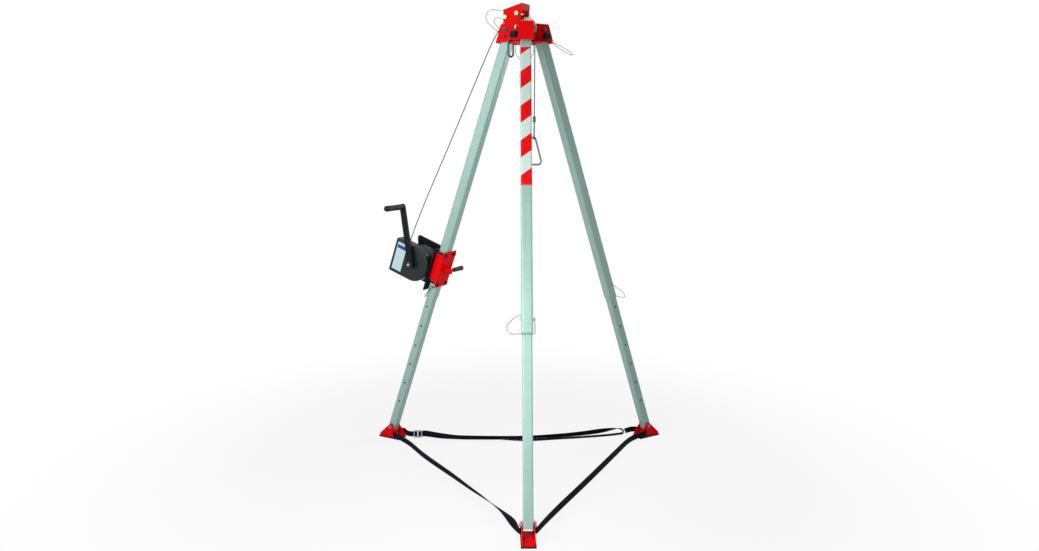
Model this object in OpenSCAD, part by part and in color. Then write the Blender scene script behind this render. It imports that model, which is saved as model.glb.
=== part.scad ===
// Rescue tripod: three telescopic legs hinged to a pulley head, with a cable winch clamped to the left leg.
// Millimetres. The origin is on the floor under the axis of the head, +Z is up, the front leg points to -Y.
// A leg frame has x outward from the leg's face, y along the head's tangent and z up along the leg.

/* [Legs] */
// Angle of an open leg from the vertical, in degrees
spread = 19.4; // [16:0.1:22]
// Length along a leg from the head datum to the foot pivot
leg_length = 2190; // [2120:5:2300]
// Height of the foot pivot above the floor
foot_pivot_h = 68; // [62:1:80]
// Distance from the head's axis to the centre line of a leg at the datum
head_radius = 75; // [72:0.5:80]
// Width of the square upper tube
upper_w = 50; // [46:0.5:52]
// Wall of both tubes
tube_wall = 3; // [2:0.25:3.5]
// Outside corner radius of the upper tube
corner_r = 8; // [6:0.5:9]
// Gap on each side between the upper and the lower tube
tube_gap = 0.5; // [0.3:0.1:0.8]
// Length of the upper tube above the datum
upper_top = 26; // [22:1:27]
// Distance along the leg from the datum to the lower end of the upper tube
upper_end = 1396; // [1380:1:1420]
// Length of lower tube hidden in the upper tube at full height
tube_overlap = 290; // [200:5:320]
// Length of lower tube below the foot pivot
tube_tail = 17; // [15:1:22]

/* [Leg locks] */
// Diameter of a lock pin
lock_pin_d = 10; // [8:0.5:12]
// Distance of the lock pin above the lower end of the upper tube
lock_setback = 59; // [50:1:70]
// Distance between two lock holes of the lower tube
lock_pitch = 115; // [112:0.5:116]
// Number of lock holes
lock_count = 7; // [7:1:7]
// Clearance around a pin in its hole, on the radius
pin_gap = 0.3; // [0.2:0.05:0.5]
// Wire diameter of a pin bail
bail_wire = 3.2; // [2.5:0.1:4]
// Length of a bail from the pin to its cross bar
bail_reach = 72; // [68:1:80]

/* [Head] */
// Thickness of the steel plates of the head
plate_t = 4; // [3:0.25:4.5]
// Outside width of a leg bracket
bracket_w = 71; // [68:0.5:76]
// Height of a bracket above the datum
bracket_top = 29; // [28:0.5:31]
// Depth of a bracket below the datum
bracket_low = 56; // [52:0.5:58]
// Distance of a bracket's outer face from the centre line of its leg
web_n = 41; // [38:0.5:44]
// Diameter of the pivot bolts
pivot_d = 12; // [10:0.5:13]
// Distance of the pivot bolt outward from the centre line of its leg
pivot_offset = 10; // [8:0.5:10]
// Running clearance of bolts and axles, on the radius
run_gap = 0.05; // [0.02:0.01:0.08]
// Diameter of a stop pin
stop_pin_d = 10; // [8:0.5:11]
// Distance of the stop pin below the datum, along the leg
stop_s = 30; // [28:0.5:32]
// Diameter of a stop pin's knob
knob_d = 33; // [26:1:38]
// Length of a stop pin's knob
knob_len = 38; // [30:1:44]
// Radius of the hub plate
hub_r = 78; // [76:0.5:82]
// Thickness of the hub plate
hub_t = 5; // [4:0.5:6]

/* [Pulleys] */
// Diameter of the winch cable
cable_d = 5; // [4:0.25:5.5]
// Radius of the main sheave at the centre of the cable
sheave_r = 44.5; // [42:0.5:46]
// Height of the main sheave's axle above the datum
sheave_z = 8; // [4:0.5:10]
// Distance from the head's axis to the hanging cable
drop_r = 52.5; // [50:0.5:54]
// Radius of the guide roller at the centre of the cable
roller_r = 14.6; // [13:0.2:15]
// Diameter of the pulley axles
axle_d = 12; // [10:0.5:14]

/* [Feet] */
// Length of a foot's base
foot_len = 130; // [110:1:150]
// Outside width over a foot's side plates
foot_w = 56; // [55:0.5:64]
// Thickness of a rubber sole
sole_t = 8; // [5:0.5:12]

/* [Straps] */
// Width of the webbing
strap_w = 30; // [24:1:34]
// Thickness of the webbing
strap_t = 2.5; // [2:0.25:3]

/* [Winch] */
// Distance along the left leg from the datum to the winch shaft
winch_s = 1258; // [1245:1:1262]
// Distance of the winch shaft from the centre line of the leg
winch_n = 132; // [130:0.5:136]
// Radius of the round side of the winch cover
cover_r = 92; // [91:0.5:93]
// Reach of the cover's flat side past the shaft
cover_reach = 130; // [120:1:140]
// Depth of the winch cover along the shaft
cover_depth = 48; // [44:0.5:54]
// Radius of the wound cable at the centre of its outer layer
wind_r = 86; // [84:0.25:86.5]
// Number of turns in the outer layer on the drum
wind_turns = 7; // [5:1:7]
// Distance between two turns on the drum
wind_pitch = 5.5; // [5.5:0.05:5.6]
// Diameter of the winch shaft
shaft_d = 20; // [16:0.5:22]
// Length of the crank arm between its two centres
crank_len = 297; // [240:1:310]
// Angle of the crank arm from the leg at rest, in degrees
crank_angle = 28; // [0:1:40]
// Diameter of the crank grip
grip_d = 30; // [26:0.5:34]
// Length of the crank grip
grip_len = 136; // [100:1:145]

/* [Hook] */
// Height above the floor of the top of the cable's end sleeve
hook_top = 1738; // [1700:1:1760]
// Rod diameter of the hook
hook_rod = 10.5; // [9:0.25:12]
// Inside height of the hook
hook_inside = 116; // [105:1:125]
// Inside width of the hook
hook_width = 46; // [42:1:54]

/* [Hidden] */
$fn = 48;

front_az = 270;
left_az = 150;
right_az = 30;

red = [0.82, 0.03, 0.03];
alloy = [0.70, 0.76, 0.74];
zinc = [0.80, 0.81, 0.80];
black = [0.07, 0.08, 0.09];
wire = [0.35, 0.36, 0.37];
nylon = [0.92, 0.90, 0.84];

// Datum and the places that follow from it
datum_z = foot_pivot_h + leg_length * cos(spread);
foot_radius = head_radius + leg_length * sin(spread);
lower_w = upper_w - 2 * tube_wall - 2 * tube_gap;
lower_corner = corner_r - tube_wall + 1;
lock_s = upper_end - lock_setback;
pivot_rho = head_radius + pivot_offset * cos(spread);
pivot_z = pivot_offset * sin(spread);
stop_n = pivot_offset - 10;
stop_rho = head_radius + stop_s * sin(spread) + stop_n * cos(spread);
stop_z = stop_n * sin(spread) - stop_s * cos(spread);
cut = 1;

// Brackets and hub
inner_half = bracket_w / 2 - plate_t;
hub_top = -bracket_low - 1;
tab_in = 38;
left_in = 13;
tab_out = 62;
tab_rise = 6;
notch_half = upper_w / 2 + 3;
notch_in = 46;
washer_d = 26;
bolt_head_h = 7;
bolt_head_d = 21;

// Pulley bracket, in the left leg's radial plane: x outward, z above the datum
sheave_x = sheave_r - drop_r;
roller_x = 83;
roller_z = 58;
spacer_x = 22;
spacer_z = 72;
mount_x = 23;
mount_z = 11;
mount_d = 10;
pulley_in = bracket_w / 2;
pulley_out = pulley_in + plate_t;
lobe_r = 12;
cap_t = 2.2;
wheel_half = 8;

// Eye ring
ring_rod = 9;
ring_r = 13.5;
ring_x = 77;
ring_top = hub_top - 6.5;
ring_straight = 48;

// Feet
foot_plate_t = 4;
foot_base_t = 4;
foot_in = -55 * foot_len / 130;
foot_out = foot_in + foot_len;
foot_bolt_d = 12;
slot_x = -24;
slot_z = sole_t + 23;
slot_gap = 0.6;
foot_edge = 4;

// Lock pins
pin_stub = 9;
bail_lean = 22;

// Winch, in the left leg's frame
saddle_t = 5;
saddle_gap = 1;
saddle_half_h = 76;
clamp_s = winch_s - 32;
clamp_plate_w = 110;
clamp_plate_h = 196;
clamp_bolt_d = 10;
clamp_bolt_y = 38;
clamp_bolt_z = 81;
frame_n = upper_w / 2 + saddle_t;
frame_t = 6;
frame_half_y = 52;
frame_rise = 122;
frame_drop = 106;
drum_y0 = -45;
drum_y1 = 6;
flange_t = 3;
flange_r = wind_r + cable_d / 2 + 1.5;
near_y = 8;
cover_y = near_y + frame_t;
cover_wall = 3;
cover_round = 10;
crank_y = cover_y + cover_depth + 10;
arm_t = 9;
grip_y = crank_y + arm_t + 2;
boss_h = 36;
lever_len = 125;
ratchet_teeth = 24;
ratchet_r = 40;
ratchet_root = 35.5;
ratchet_t = 8;
ratchet_y = cover_y + 10;
pawl_x = 11;
pawl_z = 61;
pawl_pin_d = 8;
// The pawl is shown riding on the tips of the teeth, this far above its place behind a tooth
pawl_rise = 7.2;

// Hook, hanging under the drop
drop_x = drop_r * cos(left_az + 180);
drop_y = drop_r * sin(left_az + 180);
ferrule_h = 28;
ferrule_d = 15;
eye_rod = 6;
eye_neck = 3.6;
eye_r = 13;
eye_len = 66;
eye_top = hook_top - ferrule_h;
eye_low = eye_top - eye_len;
eye_rise = eye_len + 2;
eye_lean = asin(eye_r / norm([eye_neck, eye_rise])) - atan2(eye_neck, eye_rise);
rod_z = eye_low - eye_r + eye_rod / 2 + hook_rod / 2 + 0.3;
hook_x = 6;
hook_bend = 16;

// Cable and lanyard routes: round numbers, in the frame that each comment names
// Slack cable between the guide roller and the drum: distance down the left leg, distance out from it
cable_route = [[20, 64], [120, 86], [375, 120], [650, 157], [936, 197], [1140, 218]];
// Lanyards at the head: x outward from the head's axis, y along the tangent, z above the datum
lanyard_big = [[118, 37, -11], [136, 40, 4], [160, 42, 24], [183, 43, 50], [184, 43, 74], [170, 43, 90],
  [150, 43, 95], [127, 43, 91], [108, 42, 91], [90, 41, 88]];
lanyard_small = [[88, 41, 44], [104, 44, 53], [124, 46, 56], [139, 46, 50], [139, 46, 38], [128, 44, 22],
  [116, 39, 10], [108, 37, 4]];
lanyard_right = [[118, -37, -44], [138, -41, -54], [166, -45, -66], [200, -46, -80], [228, -46, -93],
  [240, -45, -102], [232, -44, -105], [204, -43, -95], [168, -41, -78], [140, -38, -60], [128, -37, -50]];
lanyard_top = [[16, -41, 92], [6, -44, 82], [-2, -46, 68], [-7, -44, 56], [-10, -41, 46]];
lanyard_back = [[-34, 65, -48], [-42, 74, -70], [-40, 82, -98], [-22, 87, -124], [2, 88, -134],
  [26, 87, -124], [43, 82, -98], [44, 74, -70], [34, 65, -48]];
lanyard_d = 2.6;
// Lanyard of a lock pin, in the leg's frame, measured from the pin
pin_lanyard_route = [[8, -upper_w / 2 - 0.3, 14], [9, -44, 10], [12, -66, -6], [18, -86, -30], [24, -84, -54],
  [28, -66, -68], [27, -50, -67], [bail_reach * sin(bail_lean), -upper_w / 2 - pin_stub - 0.4,
  -bail_reach * cos(bail_lean)]];
// Webbing: x, y and z from the floor, with the turn of its width from the vertical
webbing_left_front = concat(slot_end(left_az, 1, 0), [[-600, 240, 27, 0], [-497, 60, 22, 10],
  [-347, -172, 18, 30], [-255, -322, 17, 75], [-174, -456, 19, 130], [-92, -620, 25, 175]],
  turned_back(slot_end(front_az, -1, 180)));
webbing_front_right = concat(slot_end(front_az, 1, 0), [[78, -690, 28, 0], [152, -535, 21, 8],
  [321, -217, 18, 15], [486, 92, 20, 15], [579, 255, 25, 8], [640, 318, 29, 0]],
  turned_back(slot_end(right_az, -1, 0)));
// The rear strap runs to a loop near the right foot and back to its slide
webbing_left_right = concat(slot_end(left_az, -1, 0), [[-640, 416, 30, 0], [-626, 394, 27, 0],
  [-608, 379, 26, 0], [-590, 376, 26, 0], [-562, 376, 26, 0], [-534, 376, 26, 0], [-512, 375.5, 25, 0],
  [-420, 350, 19, 14], [-300, 338, 15, 55],
  [0, 338, 8, 85], [220, 362, 13, 62], [350, 386, 19, 35], [447, 405, 28, 30], [520, 420, 33, 50],
  [556, 424, 33, 80], [574, 424, 28, 90], [582, 424, 18, 90], [574, 424, 8, 90], [552, 420, 4.5, 90],
  [447, 396, 3, 90], [220, 359, 2.8, 90], [0, 336.6, 2.8, 92], [-300, 335.7, 11.7, 125],
  [-420, 345.9, 18, 166], [-512, 371.2, 25, 180], [-537.5, 371.4, 26, 180]]);
// Short tether from the right foot to the loop
webbing_tether = concat(slot_end(right_az, 1, 0), [[636, 424, 31, 0], [616, 424, 29, 0], [598, 424, 23, 0],
  [588, 424, 19, 0]]);
slide_at = [-562, 376, 26];

// Three points of webbing that comes straight out of the slot in a foot's side plate
function slot_end(az, side, turn) = [
  for (y = [foot_w / 2 - 8, foot_w / 2 + 3, foot_w / 2 + 10])
    [
      (foot_radius + slot_x) * cos(az) - side * y * sin(az),
      (foot_radius + slot_x) * sin(az) + side * y * cos(az),
      slot_z,
      turn
    ]
];
function turned_back(p) = [for (i = [len(p) - 1 : -1 : 0]) p[i]];

module on_head(az) {
  rotate([0, 0, az]) translate([0, 0, datum_z]) children();
}

module on_leg(az) {
  rotate([0, 0, az]) translate([head_radius, 0, datum_z]) rotate([0, -spread, 0]) children();
}

module on_foot(az) {
  rotate([0, 0, az]) translate([foot_radius, 0, 0]) children();
}

module on_winch() {
  on_leg(left_az) translate([winch_n, 0, -winch_s]) children();
}

// A plate cut to an outline in x and z, standing across y from y0
module slab(points, y0, thick) {
  translate([0, y0 + thick, 0]) rotate([90, 0, 0]) linear_extrude(thick) polygon(points);
}

// A round bar across y, from y0 to y1
module bar_y(d, y0, y1) {
  translate([0, y1, 0]) rotate([90, 0, 0]) cylinder(d = d, h = y1 - y0);
}

// A slot across y with round ends, from point a to point b in x and z
module slot_y(a, b, w, y0, y1) {
  run = norm(b - a);
  translate([a[0], y1, a[1]]) rotate([0, -atan2(b[1] - a[1], b[0] - a[0]), 0]) rotate([90, 0, 0])
    linear_extrude(y1 - y0) {
      circle(d = w);
      translate([run, 0]) circle(d = w);
      translate([0, -w / 2]) square([run, w]);
    }
}

// A hexagon across y
module hex_y(d, y0, y1) {
  translate([0, y1, 0]) rotate([90, 0, 0]) cylinder(d = d, h = y1 - y0, $fn = 6);
}

module rounded_square(w, r) {
  square([w - 2 * r, w], center = true);
  square([w, w - 2 * r], center = true);
  for (x = [-1, 1], y = [-1, 1]) {
    translate([x * (w / 2 - r), y * (w / 2 - r)]) circle(r);
  }
}

module square_tube(w, r, top, bottom) {
  difference() {
    translate([0, 0, -bottom]) linear_extrude(bottom + top) rounded_square(w, r);
    translate([0, 0, -bottom - cut]) linear_extrude(bottom + top + 2 * cut)
      rounded_square(w - 2 * tube_wall, r - tube_wall);
  }
}

// A bolt across y with its head at y1 and its nut at y0
module cross_bolt(d, y0, y1, head_d = bolt_head_d) {
  bar_y(d, y0 - bolt_head_h - 3, y1 + cut);
  hex_y(head_d, y1, y1 + bolt_head_h);
  hex_y(head_d, y0 - bolt_head_h, y0);
}

// Points of a smooth route through the given points, with steps between each two
function between(a, b, c, d, u) =
  0.5 * (2 * b + (c - a) * u + (2 * a - 5 * b + 4 * c - d) * u * u + (3 * b - a - 3 * c + d) * u * u * u);
function smooth(p, steps) = [
  for (i = [0 : len(p) - 2], j = [0 : steps - 1])
    between(p[max(i - 1, 0)], p[i], p[i + 1], p[min(i + 2, len(p) - 1)], j / steps),
  p[len(p) - 1]
];
function unit(v) = v / norm(v);
function heading(p, i) = unit(p[min(i + 1, len(p) - 1)] - p[max(i - 1, 0)]);
function aside(t) = unit(cross(t, abs(t[2]) > 0.9 ? [0, 1, 0] : [0, 0, 1]));

// A closed skin over rings of points
module skin(rings) {
  sides = len(rings[0]);
  count = len(rings);
  walls = [
    for (i = [0 : count - 2], j = [0 : sides - 1])
      let (a = i * sides + j, b = i * sides + (j + 1) % sides)
        each [[a, a + sides, b], [b, a + sides, b + sides]]
  ];
  first = [for (j = [1 : sides - 2]) [0, j, j + 1]];
  start = (count - 1) * sides;
  last = [for (j = [1 : sides - 2]) [start, start + j + 1, start + j]];
  polyhedron(points = [for (r = rings) each r], faces = concat(walls, first, last));
}

// A round cord along a list of points. The sides keep one reference direction, so that no ring twists.
module cord(p, d, sides = 8, steady = undef) {
  skin([
    for (i = [0 : len(p) - 1])
      let (t = heading(p, i), u = is_undef(steady) ? aside(t) : unit(cross(t, steady)), v = cross(t, u))
        [for (j = [0 : sides - 1]) p[i] + d / 2 * (cos(360 * j / sides) * u + sin(360 * j / sides) * v)]
  ]);
}

// Webbing along points that carry the turn of its width as a fourth value, measured from the upright or, on a
// strap that doubles back, from a steady side direction
module webbing(route, steps, steady = undef) {
  p = smooth(route, steps);
  q = [for (a = p) [a[0], a[1], a[2]]];
  skin([
    for (i = [0 : len(q) - 1])
      let (
        t = heading(q, i),
        u = is_undef(steady) ? aside(t) : unit(steady - (steady * t) * t),
        v = cross(u, t),
        wide = cos(p[i][3]) * v + sin(p[i][3]) * u,
        thin = cos(p[i][3]) * u - sin(p[i][3]) * v
      )
        [
          for (c = [[1, 1], [-1, 1], [-1, -1], [1, -1]])
            q[i] + c[0] * strap_w / 2 * wide + c[1] * strap_t / 2 * thin
        ]
  ]);
}

// Distance from the head's axis of a line along the leg, n outward from its centre line, at height z
function leg_rho(n, z) = head_radius + n / cos(spread) - z * tan(spread);

function bracket_outline(inner) = [
  [inner, hub_top + tab_rise], [tab_in, hub_top + tab_rise], [tab_in, hub_top], [tab_out, hub_top],
  [tab_out + 3, hub_top + tab_rise],
  [leg_rho(web_n, -bracket_low), -bracket_low], [leg_rho(web_n, bracket_top), bracket_top],
  [inner, bracket_top]
];
web_outline = [
  [leg_rho(web_n - plate_t, bracket_top), bracket_top], [leg_rho(web_n, bracket_top), bracket_top],
  [leg_rho(web_n, -bracket_low), -bracket_low], [leg_rho(web_n - plate_t, -bracket_low), -bracket_low]
];

// U bracket of one leg: two side plates and an outer web
module bracket(az) {
  color(red) on_head(az) difference() {
    union() {
      for (y0 = [-bracket_w / 2, inner_half]) {
        slab(bracket_outline(az == left_az ? left_in : tab_in - 1), y0, plate_t);
      }
      slab(web_outline, -inner_half - cut, 2 * (inner_half + cut));
    }
    translate([pivot_rho, 0, pivot_z]) bar_y(pivot_d + 2 * run_gap, -bracket_w, bracket_w);
    translate([stop_rho, 0, stop_z]) bar_y(stop_pin_d + 2 * run_gap, -bracket_w, bracket_w);
    if (az == left_az) {
      translate([mount_x, 0, mount_z]) bar_y(mount_d + 2 * run_gap, -bracket_w, bracket_w);
    }
  }
}

// Plate that joins the brackets, with a notch for each leg, a hole for the cable and one for the eye ring
module hub_plate() {
  color(red) on_head(0) translate([0, 0, hub_top - hub_t]) linear_extrude(hub_t) difference() {
    circle(hub_r);
    for (az = [front_az, left_az, right_az]) {
      rotate(az) translate([notch_in, -notch_half]) square([hub_r, 2 * notch_half]);
    }
    rotate(left_az + 180) translate([drop_r, 0]) circle(d = 26);
    rotate(left_az + 60) translate([ring_x - ring_r, 0]) circle(d = ring_rod + 7);
  }
}

pulley_outline = [
  [94, bracket_top + 4], [94, 92], [-4, 117], [4, sheave_z + lobe_r], [sheave_x, sheave_z + lobe_r],
  [sheave_x, sheave_z - lobe_r], [12, mount_z - 18], [mount_x, mount_z - 25]
];
pulley_cap = [[-4, 117], [1.5, 88], [1.5 + plate_t, 88], [plate_t - 4, 116]];

// Two plates outside the left bracket, joined by a bend at their inner top corner
module pulley_bracket() {
  color(red) on_head(left_az) difference() {
    union() {
      for (y0 = [-pulley_out, pulley_in]) {
        slab(pulley_outline, y0, plate_t);
        translate([sheave_x, 0, sheave_z]) bar_y(2 * lobe_r, y0, y0 + plate_t);
      }
      slab(pulley_cap, -pulley_in - cut, 2 * (pulley_in + cut));
    }
    for (at = [[sheave_x, sheave_z], [roller_x, roller_z], [spacer_x, spacer_z]]) {
      translate([at[0], 0, at[1]]) bar_y(axle_d + 2 * run_gap, -2 * pulley_out, 2 * pulley_out);
    }
    translate([mount_x, 0, mount_z]) bar_y(mount_d + 2 * run_gap, -2 * pulley_out, 2 * pulley_out);
  }
}

// Axles of the two pulleys, a spacer bolt with its tube and a bolt through each pair of plates
module pulley_bolts() {
  color(zinc) on_head(left_az) {
    translate([roller_x, 0, roller_z]) cross_bolt(axle_d, -pulley_out, pulley_out);
    translate([sheave_x, 0, sheave_z]) {
      bar_y(axle_d, -pulley_out - cap_t, pulley_out + cap_t);
      bar_y(axle_d + 3, pulley_out, pulley_out + cap_t);
      bar_y(axle_d + 3, -pulley_out - cap_t, -pulley_out);
    }
    translate([spacer_x, 0, spacer_z]) {
      cross_bolt(axle_d, -pulley_out, pulley_out);
      bar_y(axle_d + 2, -pulley_in, pulley_in);
    }
    for (side = [0, 180]) {
      translate([mount_x, 0, mount_z]) rotate([0, 0, side])
        cross_bolt(mount_d, inner_half, pulley_out, 18);
    }
  }
}

// Pivot bolts of the three legs, each with two spacing washers
module pivot_bolts() {
  color(zinc) for (az = [front_az, left_az, right_az]) {
    on_head(az) translate([pivot_rho, 0, pivot_z]) {
      cross_bolt(pivot_d, -bracket_w / 2, bracket_w / 2);
      for (side = [-1, 1]) {
        y0 = side > 0 ? upper_w / 2 + 0.2 : -inner_half;
        difference() {
          bar_y(washer_d, y0, y0 + inner_half - upper_w / 2 - 0.2);
          bar_y(pivot_d + 2 * run_gap, -bracket_w, bracket_w);
        }
      }
    }
  }
}

// A wheel across y with a round groove for the cable
module grooved_wheel(r, rim, half, hub_d, hub_half, bore) {
  rotate([90, 0, 0]) difference() {
    union() {
      cylinder(r = rim, h = 2 * half, center = true, $fn = 96);
      cylinder(d = hub_d, h = 2 * hub_half, center = true);
    }
    rotate_extrude($fn = 96) translate([r, 0]) circle(d = cable_d + 2);
    rotate_extrude($fn = 96) translate([r, -cable_d / 2 - 1]) square([rim, cable_d + 2]);
    cylinder(d = bore, h = 4 * hub_half, center = true);
  }
}

module main_sheave() {
  color(nylon) on_head(left_az) translate([sheave_x, 0, sheave_z]) difference() {
    grooved_wheel(sheave_r, sheave_r + 3.5, wheel_half, 24, pulley_in - 0.3, axle_d + 2 * run_gap);
    for (a = [0 : 60 : 300]) {
      rotate([0, a, 0]) translate([sheave_r * 0.58, 0, 0]) bar_y(14, -2 * wheel_half, 2 * wheel_half);
    }
  }
}

module guide_roller() {
  color(nylon) on_head(left_az) translate([roller_x, 0, roller_z])
    grooved_wheel(roller_r, roller_r + 3.5, wheel_half, 20, inner_half - 0.3, axle_d + 2 * run_gap);
}

// Oval link through the hub plate, around its rim
module eye_ring() {
  color(wire) on_head(left_az + 60) translate([ring_x, 0, ring_top]) rotate([90, 0, 0]) {
    rotate_extrude(angle = 180) translate([ring_r, 0]) circle(d = ring_rod);
    translate([0, -ring_straight, 0]) rotate([0, 0, 180]) rotate_extrude(angle = 180) translate([ring_r, 0])
      circle(d = ring_rod);
    for (side = [-1, 1]) {
      translate([side * ring_r, 0, 0]) rotate([90, 0, 0]) cylinder(d = ring_rod, h = ring_straight);
    }
  }
}

module head_lanyards() {
  color(wire) {
    on_head(left_az) {
      for (route = [lanyard_big, lanyard_small, lanyard_top]) {
        cord(smooth(route, 2), lanyard_d, 8);
      }
    }
    on_head(right_az) cord(smooth(lanyard_right, 2), lanyard_d, 8);
    on_head(0) cord(smooth(lanyard_back, 2), lanyard_d, 8);
  }
}

// Profile of a knob: radius and distance from the bracket
knob_profile = [
  [0, 0.5], [knob_d * 0.36, 0.5], [knob_d * 0.40, knob_len * 0.16], [knob_d * 0.5, knob_len * 0.3],
  [knob_d * 0.5, knob_len * 0.86], [knob_d * 0.42, knob_len], [0, knob_len]
];

module stop_pin(az) {
  color(black) on_head(az) translate([stop_rho, 0, stop_z]) {
    bar_y(stop_pin_d, -bracket_w / 2 - 2, bracket_w / 2 + 6);
    translate([0, -bracket_w / 2, 0]) rotate([90, 0, 0]) rotate_extrude() polygon(knob_profile);
  }
}

// The stop pin's place in the tube's frame while the leg turns by the given angle about its pivot
function stop_at(turn) = [
  pivot_offset + (stop_n - pivot_offset) * cos(turn) + stop_s * sin(turn),
  -stop_s * cos(turn) + (stop_n - pivot_offset) * sin(turn)
];
slot_w = stop_pin_d + 2 * pin_gap + 1;

module upper_tube(az) {
  color(alloy) on_leg(az) difference() {
    square_tube(upper_w, corner_r, upper_top, upper_end);
    translate([pivot_offset, 0, 0]) bar_y(pivot_d + 2 * run_gap, -upper_w, upper_w);
    slot_y(stop_at(0), stop_at(spread), slot_w, -upper_w, upper_w);
    translate([0, 0, -lock_s]) bar_y(lock_pin_d + 2 * pin_gap, -upper_w, upper_w);
  }
}

module lower_tube(az) {
  color(alloy) on_leg(az) difference() {
    square_tube(lower_w, lower_corner, tube_overlap - upper_end, leg_length + tube_tail);
    for (i = [0 : lock_count - 1]) {
      translate([0, 0, -lock_s - i * lock_pitch]) bar_y(lock_pin_d + 2 * pin_gap, -upper_w, upper_w);
    }
    translate([0, 0, -leg_length]) bar_y(foot_bolt_d + 2 * run_gap, -upper_w, upper_w);
  }
}

pin_head_d = 17;
pin_head_t = 5;
bail_y = upper_w / 2 + pin_head_t + bail_wire / 2 + 1.5;

module lock_pin(az) {
  color(zinc) on_leg(az) translate([0, 0, -lock_s]) {
    bar_y(lock_pin_d, -upper_w / 2 - pin_stub, bail_y - bail_wire / 2 - 0.2);
    bar_y(pin_head_d, upper_w / 2 + 0.3, upper_w / 2 + 0.3 + pin_head_t);
    bar_y(5, bail_y - bail_wire - 2, bail_y + bail_wire);
  }
}

// Wire bail on the pin's head: an eye, a side leg, a bend and a bar across the outer face of the tube
module pin_bail(az) {
  bend = 8;
  far = upper_w / 2 + pin_stub;
  color(wire) on_leg(az) translate([0, bail_y, -lock_s]) rotate([0, -bail_lean, 0]) {
    rotate([90, 0, 0]) rotate_extrude() translate([5, 0]) circle(d = bail_wire);
    translate([0, 0, -bail_reach + bend]) cylinder(d = bail_wire, h = bail_reach - bend - 5);
    translate([0, -bend, -bail_reach + bend]) rotate([0, 90, 0]) rotate_extrude(angle = 90)
      translate([bend, 0]) circle(d = bail_wire);
    translate([0, -bend, -bail_reach]) rotate([90, 0, 0]) cylinder(d = bail_wire, h = bail_y + far - bend);
  }
}

module pin_lanyard(az) {
  color(wire) on_leg(az) translate([0, 0, -lock_s]) cord(smooth(pin_lanyard_route, 2), lanyard_d, 8);
}

foot_outline = [
  [foot_in, sole_t], [foot_out, sole_t], [foot_out, sole_t + 12], [14, foot_pivot_h + 9],
  [-10, foot_pivot_h + 13], [-16, foot_pivot_h + 2], [foot_in, sole_t + 12]
];

// Foot: two triangular side plates on a base plate
module foot(az) {
  color(red) on_foot(az) difference() {
    union() {
      for (y0 = [-foot_w / 2, foot_w / 2 - foot_plate_t]) {
        slab(foot_outline, y0, foot_plate_t);
        translate([0, 0, foot_pivot_h]) bar_y(32, y0, y0 + foot_plate_t);
      }
      translate([foot_in, -foot_w / 2, sole_t]) cube([foot_len, foot_w, foot_base_t]);
    }
    translate([0, 0, foot_pivot_h]) bar_y(foot_bolt_d + 2 * run_gap, -foot_w, foot_w);
    translate([slot_x - strap_t / 2 - slot_gap, -foot_w, slot_z - strap_w / 2 - slot_gap])
      cube([strap_t + 2 * slot_gap, 2 * foot_w, strap_w + 2 * slot_gap]);
  }
}

// Rubber sole with chamfered ends and a tread of cross grooves
module foot_sole(az) {
  color(black) on_foot(az) difference() {
    slab([
      [foot_in - foot_edge, sole_t * 0.4], [foot_in, 0], [foot_out, 0], [foot_out + foot_edge, sole_t * 0.4],
      [foot_out + foot_edge, sole_t], [foot_in - foot_edge, sole_t]
    ], -foot_w / 2 - foot_edge, foot_w + 2 * foot_edge);
    for (i = [1 : 6]) {
      translate([foot_in + i * foot_len / 7 - 2, -foot_w, -cut]) cube([4, 2 * foot_w, cut + 2]);
    }
  }
}

module foot_bolt(az) {
  color(zinc) on_foot(az) translate([0, 0, foot_pivot_h]) cross_bolt(foot_bolt_d, -foot_w / 2, foot_w / 2);
}

module strap_left_front() {
  color(black) webbing(webbing_left_front, 6);
}

module strap_front_right() {
  color(black) webbing(webbing_front_right, 3);
}

module strap_left_right() {
  color(black) {
    webbing(webbing_left_right, 4, [0, -1, 0]);
    webbing(webbing_tether, 3);
  }
}

// Three-bar slide on the rear strap
module strap_slide() {
  color(zinc) translate(slide_at) difference() {
    cube([44, strap_t + 6, strap_w + 12], center = true);
    cube([60, strap_t + 1.2, strap_w + 1.6], center = true);
    for (x = [-11, 11]) {
      translate([x, 0, 0]) cube([14, 20, strap_w + 1.6], center = true);
    }
  }
}

// Red saddle between the leg and the winch frame: an outer plate and two cheeks along the tube's sides
module clamp_saddle() {
  cheek = upper_w / 2 + saddle_gap;
  color(red) on_leg(left_az) translate([0, 0, -clamp_s]) {
    translate([upper_w / 2, -cheek - saddle_t, -saddle_half_h])
      cube([saddle_t, 2 * (cheek + saddle_t), 2 * saddle_half_h]);
    for (y0 = [-cheek - saddle_t, cheek]) {
      translate([-upper_w / 2, y0, -saddle_half_h]) cube([upper_w + cut, saddle_t, 2 * saddle_half_h]);
    }
  }
}

module clamp_plate() {
  color(red) on_leg(left_az) translate([-upper_w / 2 - frame_t, 0, -clamp_s]) difference() {
    translate([0, -clamp_plate_w / 2, -clamp_plate_h / 2]) cube([frame_t, clamp_plate_w, clamp_plate_h]);
    for (y = [-1, 1], z = [-1, 1]) {
      translate([-cut, y * clamp_bolt_y, z * clamp_bolt_z]) rotate([0, 90, 0])
        cylinder(d = clamp_bolt_d + 1, h = frame_t + 2 * cut);
    }
    translate([-cut, 0, 0]) rotate([0, 90, 0]) cylinder(d = 16.1, h = frame_t + 2 * cut);
  }
}

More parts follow.
